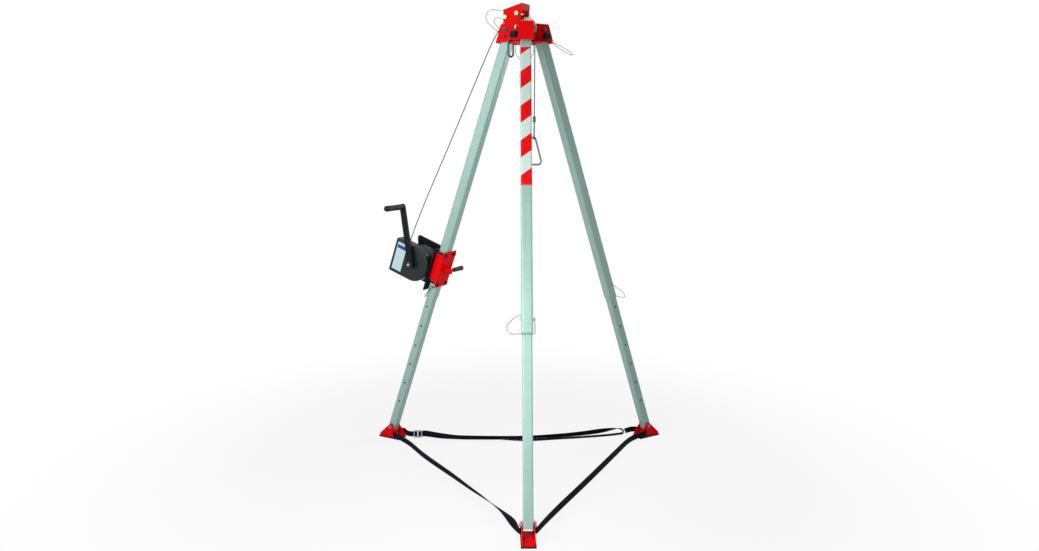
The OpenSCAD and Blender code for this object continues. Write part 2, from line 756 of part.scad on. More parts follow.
module clamp_bolts() {
  color(black) on_leg(left_az) translate([0, 0, -clamp_s]) for (y = [-1, 1], z = [-1, 1]) {
    translate([-upper_w / 2 - frame_t, y * clamp_bolt_y, z * clamp_bolt_z]) rotate([0, 90, 0]) {
      translate([0, 0, -bolt_head_h]) cylinder(d = 18, h = bolt_head_h, $fn = 6);
      translate([0, 0, -cut]) cylinder(d = clamp_bolt_d, h = frame_n + frame_t + upper_w / 2 + frame_t + 4);
      translate([0, 0, frame_n + frame_t + upper_w / 2 + frame_t]) cylinder(d = 14, h = 3, $fn = 6);
    }
  }
}

// Red boss with its screw and lever
module clamp_screw() {
  color(red) on_leg(left_az) translate([-upper_w / 2 - frame_t, 0, -clamp_s]) {
    rotate([0, -90, 0]) translate([0, 0, 0.2]) {
      cylinder(d = 38, h = boss_h * 0.6);
      translate([0, 0, boss_h * 0.6]) cylinder(d1 = 38, d2 = 26, h = boss_h * 0.4);
    }
    rotate([0, 90, 0]) translate([0, 0, -cut]) cylinder(d = 16, h = frame_t + cut - 0.2);
    translate([-boss_h * 0.62, 0, 0]) bar_y(11, -lever_len + 4, 0);
  }
}

module clamp_grip() {
  color(black) on_leg(left_az) translate([-upper_w / 2 - frame_t - boss_h * 0.62, 0, -clamp_s])
    translate([0, -40, 0]) rotate([90, 0, 0]) difference() {
      rotate_extrude() polygon([
        [0, 0], [9, 0], [11, 3], [11.5, 30], [12.5, 62], [12.5, lever_len - 46], [9, lever_len - 40],
        [0, lever_len - 40]
      ]);
      translate([0, 0, -cut]) cylinder(d = 11.02, h = lever_len - 44 + cut);
    }
}

// Outline of the cover seen along the shaft: round towards the leg, flat on the far side
module cover_outline(inset) {
  circle(cover_r - inset, $fn = 96);
  translate([0, -cover_r + inset]) square([cover_reach - inset, 2 * (cover_r - inset)]);
}

far_outline = [
  [frame_n - winch_n, -frame_drop + 12], [frame_n - winch_n, frame_rise - 2], [72, frame_rise - 2],
  [78, frame_rise - 8], [78, frame_rise - 22], [-6, -frame_drop + 10], [-18, -frame_drop],
  [frame_n - winch_n, -frame_drop]
];

// Winch frame: back plate on the leg, far side plate and near side plate behind the cover
module winch_frame() {
  back = frame_n - winch_n;
  color(black) on_winch() difference() {
    union() {
      translate([back, -frame_half_y, -frame_drop])
        cube([frame_t, 2 * frame_half_y, frame_rise + frame_drop]);
      slab(far_outline, -frame_half_y, frame_t);
      bar_y(44, -frame_half_y, drum_y0 - 0.5);
      translate([0, cover_y, 0]) rotate([90, 0, 0]) linear_extrude(frame_t) cover_outline(0.5);
      translate([pawl_x, 0, pawl_z]) bar_y(pawl_pin_d, near_y, ratchet_y + ratchet_t + 3);
      translate([back, near_y, -58]) cube([-back, frame_t, 116]);
    }
    bar_y(shaft_d + 2 * run_gap, -2 * frame_half_y, 2 * frame_half_y);
    for (y = [-1, 1], z = [-1, 1]) {
      translate([back - cut, y * clamp_bolt_y, clamp_bolt_z * z + winch_s - clamp_s]) rotate([0, 90, 0])
        cylinder(d = clamp_bolt_d + 1, h = frame_t + 2 * cut);
    }
  }
}

// Solid of the cover with a rounded front edge, from its open side at y = 0 to its face at y = depth
module cover_solid(inset, depth) {
  r = cover_r - inset;
  round_r = cover_round - inset;
  reach = cover_reach - inset;
  rotate([90, 0, 0]) mirror([0, 0, 1]) {
    rotate_extrude($fn = 96) cover_profile(r, round_r, depth);
    rotate([90, 0, 90]) linear_extrude(reach) {
      cover_profile(r, round_r, depth);
      mirror([1, 0]) cover_profile(r, round_r, depth);
    }
  }
}

module cover_profile(r, round_r, depth) {
  square([r, depth - round_r]);
  square([r - round_r, depth]);
  translate([r - round_r, depth - round_r]) circle(round_r);
}

module winch_cover() {
  color(black) on_winch() translate([0, cover_y, 0]) difference() {
    union() {
      cover_solid(0, cover_depth);
      bar_y(50, cover_depth - cut, cover_depth + 4);
      bar_y(34, cover_depth, cover_depth + 7);
    }
    translate([0, -cut, 0]) cover_solid(cover_wall, cover_depth - cover_wall + cut);
    bar_y(shaft_d + 2 * run_gap, 0, 2 * cover_depth);
  }
}

// Drum with its two flanges, turned in one piece with the shaft
module drum() {
  core = wind_r - 3.5 * cable_d;
  color(zinc) on_winch() {
    difference() {
      union() {
        bar_y(2 * core, drum_y0, drum_y1);
        bar_y(2 * flange_r, drum_y0, drum_y0 + flange_t);
        bar_y(2 * flange_r, drum_y1 - flange_t, drum_y1);
      }
      bar_y(2 * core - 8, drum_y0 + flange_t, drum_y1 - flange_t);
      for (a = [0 : 60 : 300]) {
        rotate([0, a, 0]) translate([core * 0.62, 0, 0]) bar_y(28, 2 * drum_y0, -2 * drum_y0);
      }
    }
    bar_y(shaft_d, -frame_half_y - 6, crank_y + arm_t);
  }
}

wind_rings = 24;
wind_points = [
  [wind_r, -wind_turns * wind_pitch, -cable_d],
  for (i = [0 : wind_turns * wind_rings])
    let (a = 360 * (i / wind_rings - wind_turns))
      [wind_r * cos(a), (i / wind_rings - wind_turns) * wind_pitch, wind_r * sin(a)],
  [wind_r, 0, cable_d]
];
wind_free = min([
  for (i = [1 : len(wind_points) - 2 - wind_rings]) norm(wind_points[i + wind_rings] - wind_points[i])
]) - cable_d;
echo("least gap between two turns on the drum", wind_free);

// Cable on the drum: the lower layers as a plain core, the outer layer as one winding
module drum_cable() {
  core = wind_r - 3.5 * cable_d;
  color(wire) on_winch() {
    difference() {
      bar_y(2 * (wind_r - cable_d / 2 - 1.1), drum_y0 + flange_t, drum_y1 - flange_t);
      bar_y(2 * core, 2 * drum_y0, -2 * drum_y0);
    }
    cord(wind_points, cable_d, 6, [0, 1, 0]);
  }
}

module ratchet_wheel() {
  step = 360 / ratchet_teeth;
  color(zinc) on_winch() translate([0, ratchet_y + ratchet_t, 0]) rotate([90, 0, 0]) linear_extrude(ratchet_t)
    difference() {
      polygon([
        for (i = [0 : ratchet_teeth - 1], tip = [0, 1])
          (tip == 1 ? ratchet_r : ratchet_root) * [cos((i + tip) * step - tip), sin((i + tip) * step - tip)]
      ]);
      circle(d = shaft_d);
    }
}

// Pawl on a pin of the near side plate; its nose drops behind a tooth
function about_shaft(r, a) = r * [cos(a), sin(a)];

module pawl() {
  pin = [pawl_x, pawl_z];
  nose = [
    about_shaft(ratchet_root + 0.9, 46.2), about_shaft(ratchet_r + 1.5, 45.3), about_shaft(ratchet_r + 6, 52),
    [pawl_x + 6.5, pawl_z], [pawl_x - 6, pawl_z - 3], about_shaft(ratchet_r - 0.6, 57)
  ];
  color(zinc) on_winch() translate([pin[0], 0, pin[1]]) rotate([0, -pawl_rise, 0])
    translate([-pin[0], 0, -pin[1]]) difference() {
    union() {
      slab(nose, ratchet_y, ratchet_t);
      translate([pin[0], 0, pin[1]]) bar_y(15, ratchet_y, ratchet_y + ratchet_t);
    }
    translate([pin[0], 0, pin[1]]) bar_y(pawl_pin_d + 2 * run_gap, 0, 4 * ratchet_y);
  }
}

module crank_arm() {
  hub_d = 40;
  end_d = 32;
  color(black) on_winch() rotate([0, crank_angle, 0]) difference() {
    union() {
      bar_y(hub_d, crank_y, crank_y + arm_t + 7);
      slab([
        [-hub_d / 2 + 2, 0], [hub_d / 2 - 2, 0], [end_d / 2, crank_len], [-end_d / 2, crank_len]
      ], crank_y, arm_t);
      translate([0, 0, crank_len]) bar_y(end_d, crank_y, crank_y + arm_t);
      translate([0, 0, crank_len]) bar_y(11, crank_y, grip_y + grip_len - 4);
      translate([0, 0, crank_len]) bar_y(17, grip_y + grip_len - 8, grip_y + grip_len - 3);
    }
    bar_y(shaft_d, crank_y - cut, crank_y + arm_t);
  }
}

module crank_grip() {
  r = grip_d / 2;
  color(black) on_winch() rotate([0, crank_angle, 0]) translate([0, grip_y, crank_len]) rotate([-90, 0, 0])
    rotate_extrude() difference() {
      polygon([
        [5.5 + run_gap, 0], [r - 4, 0], [r - 1, 3], [r, 8], [r - 1, grip_len * 0.5], [r, grip_len - 10],
        [r - 2, grip_len - 3], [r - 6, grip_len], [0, grip_len], [0, grip_len - 1.5],
        [5.5 + run_gap, grip_len - 1.5]
      ]);
      translate([0, grip_len - 8.5]) square([9, 7.2]);
    }
}

// Route of the cable in the left leg's radial plane: drum, slack run, guide roller and main sheave
function leg_to_head(s, n) = [
  head_radius + s * sin(spread) + n * cos(spread), 0, n * sin(spread) - s * cos(spread)
];
function arc_at(x, z, r, a) = [x + r * cos(a), 0, z + r * sin(a)];
drum_end = leg_to_head(winch_s - cable_d - 0.3, winch_n + wind_r);
slack_run = [for (i = [len(cable_route) - 1 : -1 : 0]) leg_to_head(cable_route[i][0], cable_route[i][1])];
over_roller = [for (a = [30, 55, 80, 101]) arc_at(roller_x, roller_z, roller_r, a)];
over_sheave = [for (a = [101, 121, 141, 161, 180]) arc_at(sheave_x, sheave_z, sheave_r, a)];
drop_top = [-drop_r, 0, sheave_z - 12];
cable_points = concat(smooth(concat([drum_end], slack_run, [over_roller[0]]), 3), over_roller, over_sheave,
  [drop_top]);

module winch_cable() {
  color(wire) on_head(left_az) cord([for (i = [0 : len(cable_points) - 1])
    if (i == 0 || norm(cable_points[i] - cable_points[i - 1]) > 0.1) cable_points[i]], cable_d, 8, [0, 1, 0]);
}

module drop_cable() {
  top = datum_z + drop_top[2] - 0.3;
  color(wire) translate([drop_x, drop_y, hook_top]) cylinder(d = cable_d, h = top - hook_top);
}

// Pressed sleeve and thimble eye at the end of the cable
module cable_end() {
  color(zinc) translate([drop_x, drop_y, 0]) {
    translate([0, 0, eye_top]) cylinder(d = ferrule_d, h = ferrule_h - 0.3);
    translate([0, 0, eye_low]) rotate([90, 0, 90]) {
      rotate([0, 0, 180 - eye_lean]) rotate_extrude(angle = 180 + 2 * eye_lean)
        translate([eye_r, 0]) circle(d = eye_rod);
      for (side = [-1, 1]) {
        rotate([0, 0, side * eye_lean]) translate([side * eye_r, 0, 0]) rotate([-90, 0, 0])
          cylinder(d = eye_rod, h = (eye_rise - eye_r * sin(eye_lean)) / cos(eye_lean));
      }
    }
  }
}

// Snap hook: a rod bent round the load space, open on the left for the gate
module hook() {
  r = hook_rod / 2;
  left = -hook_width / 2 - r;
  right = hook_width / 2 + r;
  low = -hook_inside - hook_rod;
  color(zinc) translate([drop_x + hook_x, drop_y, rod_z]) rotate([90, 0, 0]) {
    bend_at(right - hook_bend, -hook_bend, 0);
    bend_at(left + hook_bend, -hook_bend, 90);
    bend_at(left + hook_bend, low + hook_bend, 180);
    bend_at(right - hook_bend, low + hook_bend, 270);
    rod([left + hook_bend, 0], [right - hook_bend, 0]);
    rod([left + hook_bend, low], [right - hook_bend, low]);
    rod([right, -hook_bend], [right, low + hook_bend]);
    rod([left, -hook_bend], [left, -hook_bend - 14]);
    rod([left, low + hook_bend], [left, low + hook_bend + 12]);
  }
}

module bend_at(x, y, a) {
  translate([x, y, 0]) rotate([0, 0, a]) rotate_extrude(angle = 90) translate([hook_bend, 0])
    circle(d = hook_rod);
}

module rod(a, b) {
  run = b - a;
  translate([a[0], a[1], 0]) rotate([0, 0, atan2(run[1], run[0])]) rotate([0, 90, 0])
    cylinder(d = hook_rod, h = norm(run));
}

gate_gap = 0.6;
gate_r = hook_rod / 2 - 0.5;
gate_low = rod_z - hook_inside - hook_rod + hook_bend + 12 + gate_gap;
gate_top = rod_z - hook_bend - 14 - gate_gap;

// Spring gate between the two ends of the hook
module hook_gate() {
  x = drop_x + hook_x - hook_width / 2 - hook_rod / 2;
  color(black) translate([x, drop_y, gate_low]) {
    translate([0, 0, gate_r]) sphere(r = gate_r);
    translate([0, 0, gate_r]) cylinder(r = gate_r, h = gate_top - gate_low - gate_r);
    translate([0, 0, 20]) cylinder(d = hook_rod + 3, h = 24);
  }
}

bracket(front_az);  // front_bracket
bracket(left_az);  // left_bracket
bracket(right_az);  // right_bracket
hub_plate();
pulley_bracket();
pulley_bolts();
pivot_bolts();
main_sheave();
guide_roller();
eye_ring();
head_lanyards();
stop_pin(front_az);  // stop_pin_front
stop_pin(left_az);  // stop_pin_left
stop_pin(right_az);  // stop_pin_right
upper_tube(front_az);  // upper_tube_front
upper_tube(left_az);  // upper_tube_left
upper_tube(right_az);  // upper_tube_right
lower_tube(front_az);  // lower_tube_front
lower_tube(left_az);  // lower_tube_left
lower_tube(right_az);  // lower_tube_right
lock_pin(front_az);  // lock_pin_front
lock_pin(left_az);  // lock_pin_left
lock_pin(right_az);  // lock_pin_right
pin_bail(front_az);  // pin_bail_front
pin_bail(left_az);  // pin_bail_left
pin_bail(right_az);  // pin_bail_right
pin_lanyard(front_az);  // pin_lanyard_front
pin_lanyard(left_az);  // pin_lanyard_left
pin_lanyard(right_az);  // pin_lanyard_right
foot(front_az);  // foot_front
foot(left_az);  // foot_left
foot(right_az);  // foot_right
foot_sole(front_az);  // foot_sole_front
foot_sole(left_az);  // foot_sole_left
foot_sole(right_az);  // foot_sole_right
foot_bolt(front_az);  // foot_bolt_front
foot_bolt(left_az);  // foot_bolt_left
foot_bolt(right_az);  // foot_bolt_right
strap_left_front();
strap_front_right();
strap_left_right();
strap_slide();
clamp_saddle();
clamp_plate();
clamp_bolts();
clamp_screw();
clamp_grip();
winch_frame();
winch_cover();
drum();
drum_cable();
ratchet_wheel();
pawl();
crank_arm();
crank_grip();
winch_cable();
drop_cable();
cable_end();
hook();
hook_gate();
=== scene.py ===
"""Looks of the rescue tripod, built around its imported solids. Sizes in metres, z up, floor at z = 0."""
import math

import bpy
import numpy as np
from mathutils import Matrix, Vector


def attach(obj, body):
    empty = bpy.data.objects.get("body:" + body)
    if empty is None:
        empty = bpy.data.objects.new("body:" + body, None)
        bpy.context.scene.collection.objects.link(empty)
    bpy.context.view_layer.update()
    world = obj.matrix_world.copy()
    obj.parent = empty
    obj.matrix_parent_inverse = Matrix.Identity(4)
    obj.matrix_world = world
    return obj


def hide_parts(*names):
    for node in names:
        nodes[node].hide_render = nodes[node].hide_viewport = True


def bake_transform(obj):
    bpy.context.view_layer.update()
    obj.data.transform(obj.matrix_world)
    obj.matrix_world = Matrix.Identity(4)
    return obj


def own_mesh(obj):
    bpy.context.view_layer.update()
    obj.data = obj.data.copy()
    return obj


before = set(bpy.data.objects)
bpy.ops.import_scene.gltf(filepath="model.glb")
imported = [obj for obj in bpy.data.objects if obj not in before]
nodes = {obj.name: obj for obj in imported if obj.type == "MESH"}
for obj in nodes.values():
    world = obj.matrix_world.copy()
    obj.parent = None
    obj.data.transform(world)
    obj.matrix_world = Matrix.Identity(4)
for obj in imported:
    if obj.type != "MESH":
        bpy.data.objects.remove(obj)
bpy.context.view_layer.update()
scene = bpy.context.scene
scene.view_settings.view_transform = "Standard"

# The legs: their lean, the datum where they meet the head, the feet's pivots, and each leg's azimuth in degrees
SPREAD = math.radians(19.4)
LEG_LENGTH, FOOT_PIVOT_Z, HEAD_R = 2.19, 0.068, 0.075
DATUM = FOOT_PIVOT_Z + LEG_LENGTH * math.cos(SPREAD)
FOOT_R = HEAD_R + LEG_LENGTH * math.sin(SPREAD)
LEGS = {"front": 270, "left": 150, "right": 30}
WINCH_LEG = LEGS["left"]
# How far down a leg the lock pin and the winch's drum are, and how far out from it the drum is
LOCK_S, WINCH_S, WINCH_N = 1.337, 1.258, 0.132
# The strap slots in a foot, in millimetres from its pivot and the floor
SLOT_X, SLOT_Z, SLOT_MOUTH = -24, 31, 38


# Places

def off_axis(az, r, t, z):
    """A point r out from the tripod's axis towards az, t sideways and z up, millimetres in, metres out."""
    a = math.radians(az)
    return np.array([(r * math.cos(a) - t * math.sin(a)) / 1000, (r * math.sin(a) + t * math.cos(a)) / 1000, z / 1000])


def on_head(az, x, t, z):
    """A point in a leg's head frame, counted up from the datum."""
    return off_axis(az, x, t, z) + [0, 0, DATUM]


def on_leg(az, n, t, z):
    """A point in a leg's own frame: outward, sideways and up along the leg."""
    x = HEAD_R * 1000 + n * math.cos(SPREAD) - z * math.sin(SPREAD)
    return on_head(az, x, t, n * math.sin(SPREAD) + z * math.cos(SPREAD))


def on_winch(x, y, z):
    """A point counted from the middle of the winch's drum, along the left leg's directions."""
    return on_leg(WINCH_LEG, WINCH_N * 1000 + x, y, z - WINCH_S * 1000)


def on_foot(az, x, t, z):
    """A point counted outward from a foot's pivot, sideways, and up from the floor."""
    return off_axis(az, FOOT_R * 1000 + x, t, z)


def circle(count):
    return np.linspace(0, 2 * math.pi, count, endpoint=False)


def shares(count):
    return [j / count for j in range(count + 1)]


def smooth(points, steps):
    """A rounded route through the given points, with steps between each two."""
    p = [np.array(a, float) for a in points]
    out = []
    for i in range(len(p) - 1):
        a, b, c, d = p[max(i - 1, 0)], p[i], p[i + 1], p[min(i + 2, len(p) - 1)]
        for j in range(steps):
            u = j / steps
            out.append(0.5 * (2 * b + (c - a) * u + (2 * a - 5 * b + 4 * c - d) * u * u
                              + (3 * b - a - 3 * c + d) * u ** 3))
    return np.array(out + [p[-1]])


def run_of(points):
    """The length covered up to each point of a route."""
    step = np.linalg.norm(np.diff(points[:, :3], axis=0), axis=1)
    return np.concatenate([[0], np.cumsum(step)])


def spaced(points, step, start=0.0, end=1.0):
    """The same route with even steps, from share start to share end of its length."""
    run = run_of(points)
    count = max(2, int(round((end - start) * run[-1] / step)) + 1)
    at = np.linspace(start * run[-1], end * run[-1], count)
    return np.stack([np.interp(at, run, points[:, k]) for k in range(points.shape[1])], axis=1)


def headings(points):
    """The direction of a route at each point."""
    t = np.gradient(points[:, :3], axis=0)
    return t / np.linalg.norm(t, axis=1)[:, None]


def carried_frames(points):
    """Two side directions at each point that turn as little as the route allows."""
    t = headings(points)
    first = np.cross(t[0], [0, 0, 1] if abs(t[0][2]) < 0.9 else [0, 1, 0])
    sides = [first / np.linalg.norm(first)]
    for i in range(1, len(t)):
        u = sides[-1] - t[i] * (sides[-1] @ t[i])
        sides.append(u / np.linalg.norm(u))
    u = np.array(sides)
    return u, np.cross(t, u)


def ring_round(p, u, v, wide, high, angles):
    """An oval ring of points round p, wide along u and high along v."""
    return np.array([p + wide * math.cos(a) * u + high * math.sin(a) * v for a in angles])


# Mesh builders

def mesh_object(name, verts, faces, uvs=None, soft=True):
    mesh = bpy.data.meshes.new(name)
    mesh.from_pydata([tuple(v) for v in verts], [], faces)
    if uvs is not None:
        layer = mesh.uv_layers.new(name="length")
        flat = np.array([c for face in uvs for c in face], np.float32)
        layer.data.foreach_set("uv", flat.ravel())
    for poly in mesh.polygons:
        poly.use_smooth = soft
    mesh.update()
    obj = bpy.data.objects.new(name, mesh)
    scene.collection.objects.link(obj)
    return obj


def skin(name, rings, across, along, caps=True, soft=True):
    """A closed skin over rings of points. across has one value more than a ring has points."""
    count, sides = len(rings), len(rings[0])
    verts = np.concatenate(rings)
    faces, uvs = [], []
    for i in range(count - 1):
        for j in range(sides):
            k = (j + 1) % sides
            faces.append((i * sides + j, i * sides + k, (i + 1) * sides + k, (i + 1) * sides + j))
            uvs.append([(across[j], along[i]), (across[j + 1], along[i]),
                        (across[j + 1], along[i + 1]), (across[j], along[i + 1])])
    if caps:
        faces.append(tuple(range(sides - 1, -1, -1)))
        uvs.append([(across[j], along[0]) for j in range(sides - 1, -1, -1)])
        faces.append(tuple((count - 1) * sides + j for j in range(sides)))
        uvs.append([(across[j], along[-1]) for j in range(sides)])
    return mesh_object(name, verts, faces, uvs, soft)


def rope(name, points, d, strands=6, lay=0.034, step=0.0026):
    """A stranded wire rope whose strands really wind round it."""
    p = spaced(points, step)
    u, v = carried_frames(p)
    run = run_of(p)
    sides, valley = strands * 4, 0.80
    rings = []
    for i in range(len(p)):
        turn = 2 * math.pi * run[i] / lay
        ring = []
        for j in range(sides):
            a = 2 * math.pi * j / sides
            r = d / 2 * (valley + (1 - valley) * abs(math.cos(strands * a / 2)))
            ring.append(p[i] + r * (math.cos(a + turn) * u[i] + math.sin(a + turn) * v[i]))
        rings.append(np.array(ring))
    return skin(name, rings, shares(sides), run * 1000)


def sleeve(name, points, start, end, r_wide, r_high, sides=20):
    """A pressed sleeve on a rope, with rounded ends and two press marks."""
    p = spaced(points, 0.0006, start, end)
    u, v = carried_frames(p)
    run = run_of(p)
    full = run[-1]
    rounded, tip, marks, depth, breadth = 0.18, 0.55, (0.36, 0.64), 0.10, 0.07
    rings = []
    for i in range(len(p)):
        e = min(run[i], full - run[i]) / (rounded * full)
        k = math.sqrt(max(0.0, 1 - (1 - min(e, 1)) ** 2)) * (1 - tip) + tip
        for mark in marks:
            k -= depth * math.exp(-((run[i] / full - mark) / breadth) ** 2)
        rings.append(ring_round(p[i], u[i], v[i], k * r_wide, k * r_high, circle(sides)))
    return skin(name, rings, shares(sides), run * 1000)


STRAP_W, STRAP_T, STRAP_END, STRAP_STEP = 0.030, 0.0025, 0.085, 0.005


def webbing_section():
    """The outline of a strap's section: two faces with shallow ribs, and rounded selvages."""
    half, flat = STRAP_T / 2, STRAP_W / 2 - STRAP_T / 2
    rows = np.linspace(-1, 1, 13)
    face = [(x * flat, half * (1 - 0.16 * (1 - abs(x)) * abs(math.sin(9 * x)))) for x in rows]
    right = [(flat + half * math.sin(a), half * math.cos(a)) for a in np.radians([45, 90, 135])]
    left = [(-flat + half * math.sin(a), half * math.cos(a)) for a in np.radians([225, 270, 315])]
    return face + right + [(x, -y) for x, y in face[::-1]] + left


def webbing(name, route, start=0.0, end=1.0, steady=None):
    """Flat webbing with rounded selvages along points that carry the turn of its width, measured from the upright
    or, on a strap that doubles back, from a steady side direction."""
    p = spaced(route, STRAP_STEP, start, end)
    run = run_of(p)
    t = headings(p)
    outline = webbing_section()
    rings = []
    for i in range(len(p)):
        u = np.cross(t[i], [0, 0, 1]) if steady is None else np.array(steady) - (t[i] @ steady) * t[i]
        u = u / np.linalg.norm(u)
        v = np.cross(u, t[i])
        a = math.radians(p[i][3])
        wide, thin = math.cos(a) * v + math.sin(a) * u, math.cos(a) * u - math.sin(a) * v
        rings.append(np.array([p[i][:3] + x * wide + y * thin for x, y in outline]))
    across = [x * 1000 for x, y in outline]
    return skin(name, rings, across + [across[0]], run * 1000)


def turned(name, place, profile, sides, soft=False):
    """A turned or many-sided piece. profile runs outward along y as (radius, y); place makes a point of x, y, z."""
    rings = []
    for r, y in profile:
        rings.append(np.array([place(r * math.cos(a), y, r * math.sin(a)) for a in circle(sides) + math.pi / sides]))
    return skin(name, rings, shares(sides), [y for r, y in profile], soft=soft)


def bent_wire(name, points, r, sides=12):
    """A closed ring of round wire through the given points."""
    p = np.array(points, float)
    t = np.roll(p, -1, axis=0) - np.roll(p, 1, axis=0)
    t /= np.linalg.norm(t, axis=1)[:, None]
    flat = np.cross(p[1] - p[0], p[len(p) // 3] - p[0])
    flat /= np.linalg.norm(flat)
    verts, faces = [], []
    for i in range(len(p)):
        out = np.cross(t[i], flat)
        verts += list(ring_round(p[i], out, flat, r, r, circle(sides)))
        k = (i + 1) % len(p)
        faces += [(i * sides + j, i * sides + (j + 1) % sides, k * sides + (j + 1) % sides, k * sides + j)
                  for j in range(sides)]
    return mesh_object(name, verts, faces)


def round_bar(name, points, r, step=0.002, sides=16):
    """A bar of round section along an open route, with rounded ends."""
    p = spaced(np.array(points, float), step)
    u, v = carried_frames(p)
    run = run_of(p)
    tip = 0.3
    rings = []
    for i in range(len(p)):
        e = min(run[i], run[-1] - run[i], r) / r
        k = r * (tip + (1 - tip) * math.sqrt(1 - (1 - e) ** 2))
        rings.append(ring_round(p[i], u[i], v[i], k, k, circle(sides)))
    return skin(name, rings, shares(sides), run * 1000)


# Camera, as fitted to the edges of the three legs

FOCAL_PIXELS, PICTURE_PIXELS, SENSOR = 839.5, 1039, 36
CAMERA_PLACE = (-0.13455, -4.04314, 1.6636)
CAMERA_TURN = np.radians((1.637, 9.676, 0.331))


def set_camera():
    yaw, pitch, roll = (float(a) for a in CAMERA_TURN)
    ahead = Vector((math.sin(yaw) * math.cos(pitch), math.cos(yaw) * math.cos(pitch), -math.sin(pitch)))
    right = Vector((math.cos(yaw), -math.sin(yaw), 0))
    up = right.cross(ahead)
    side = math.cos(roll) * right + math.sin(roll) * up
    top = -math.sin(roll) * right + math.cos(roll) * up
    data = bpy.data.cameras.new("camera")
    data.sensor_width = SENSOR
    data.lens = FOCAL_PIXELS / PICTURE_PIXELS * SENSOR
    cam = bpy.data.objects.new("camera", data)
    pose = Matrix((side, top, -ahead)).transposed().to_4x4()
    pose.translation = CAMERA_PLACE
    cam.matrix_world = pose
    scene.collection.objects.link(cam)
    scene.camera = cam


set_camera()


# Cables, lanyards and webbing

CABLE_D, LANYARD_D = 0.005, 0.0026
LANYARD_LAY, LANYARD_STEP, SLEEVE_R = 0.017, 0.0016, (0.0031, 0.0024)
# Middle of the guide roller and the sheave out from the axis and up, and the cable's radius on them, in millimetres
ROLLER, SHEAVE = (83, 58, 14.6), (-8, 8, 44.5)
DROP_X = SHEAVE[0] - SHEAVE[2]
DRUM_TURNS, DRUM_PITCH, DRUM_R = 7, 5.5, 86


def arc(centre_x, centre_z, r, degrees):
    """Points on a circle at the given angles."""
    return [(centre_x + r * math.cos(a), centre_z + r * math.sin(a)) for a in np.radians(degrees)]


def cable_points():
    """Drum, slack run along the left leg, guide roller, sheave, top of the drop."""
    slack = [[20, 64], [120, 86], [375, 120], [650, 157], [936, 197], [1140, 218], [1252.7, 218]]
    route = [on_leg(WINCH_LEG, n, 0, -s) for s, n in reversed(slack)]
    over = arc(*ROLLER, (30, 55, 80, 101)) + arc(*SHEAVE, (101, 121, 141, 161, 180)) + [(DROP_X, -4)]
    return smooth(route + [on_head(WINCH_LEG, x, 0, z) for x, z in over], 12)


def snap_hook(x, y):
    """The hook's rod round the load space: upright beside the gate, slanted on the far side."""
    bend, nose, rod_r, rod_z = 16, 10, 0.0046, 1639.55
    upright, far_x, low_z, top = -22.25, 18.25, -110.5, (-2, -10)
    reach = math.hypot(far_x - top[0], low_z - top[1])
    slant = math.degrees(math.atan2(low_z - top[1], far_x - top[0]) + math.acos((nose - bend) / reach))
    line = [(upright, -30)]
    for cx, cz, r, first, last in ((upright + bend, -bend, bend, 180, 90), (*top, nose, 90, slant),
                                   (far_x, low_z, bend, slant, -90), (upright + bend, low_z, bend, -90, -180)):
        line += arc(cx, cz, r, np.linspace(first, last, 13))
    line.append((upright, -98.5))
    hook = round_bar("snap_hook", [(x + a / 1000, y, (rod_z + b) / 1000) for a, b in line], rod_r)
    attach(hook, "hook_set")
    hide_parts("hook")
    return hook


def make_cables():
    """The winch cable's run, its drop with the hook, and what is wound on the drum."""
    made = {}
    points = cable_points()
    cable = rope("winch_cable_run", points, CABLE_D)
    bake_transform(cable)
    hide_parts("winch_cable")
    top = on_head(WINCH_LEG, DROP_X, 0, -4.3)
    low = np.array([top[0], top[1], 1.7378])
    drop_points = spaced(np.array([top, low]), 0.01)
    drop = rope("hanging_cable", drop_points, CABLE_D)
    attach(drop, "head")
    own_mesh(drop)
    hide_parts("drop_cable")
    made["hook"] = snap_hook(low[0], low[1])
    made["rope"] = [cable, drop]
    wound = []
    for k in range(DRUM_TURNS * 48 + 1):
        a = 2 * math.pi * (k / 48 - DRUM_TURNS)
        wound.append(on_winch(DRUM_R * math.cos(a), DRUM_PITCH * (k / 48 - DRUM_TURNS), DRUM_R * math.sin(a)))
    wound.append(on_winch(DRUM_R, 0, 5))
    winding = rope("drum_winding", np.array(wound), CABLE_D, step=0.0045, lay=0.036)
    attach(winding, "crank")
    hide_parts("drum_cable")
    under = [np.array([on_winch(r * math.cos(a), y, r * math.sin(a)) for a in circle(96)])
             for y, r in ((-41.6, 60), (-41.6, 83.4), (-20, 83.4), (2.6, 83.4), (2.6, 60))]
    core = skin("lower_winding_layers", under, shares(96), [0, 23, 45, 67, 90], caps=False)
    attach(core, "crank")
    made["rope"] += [winding, core]
    return made


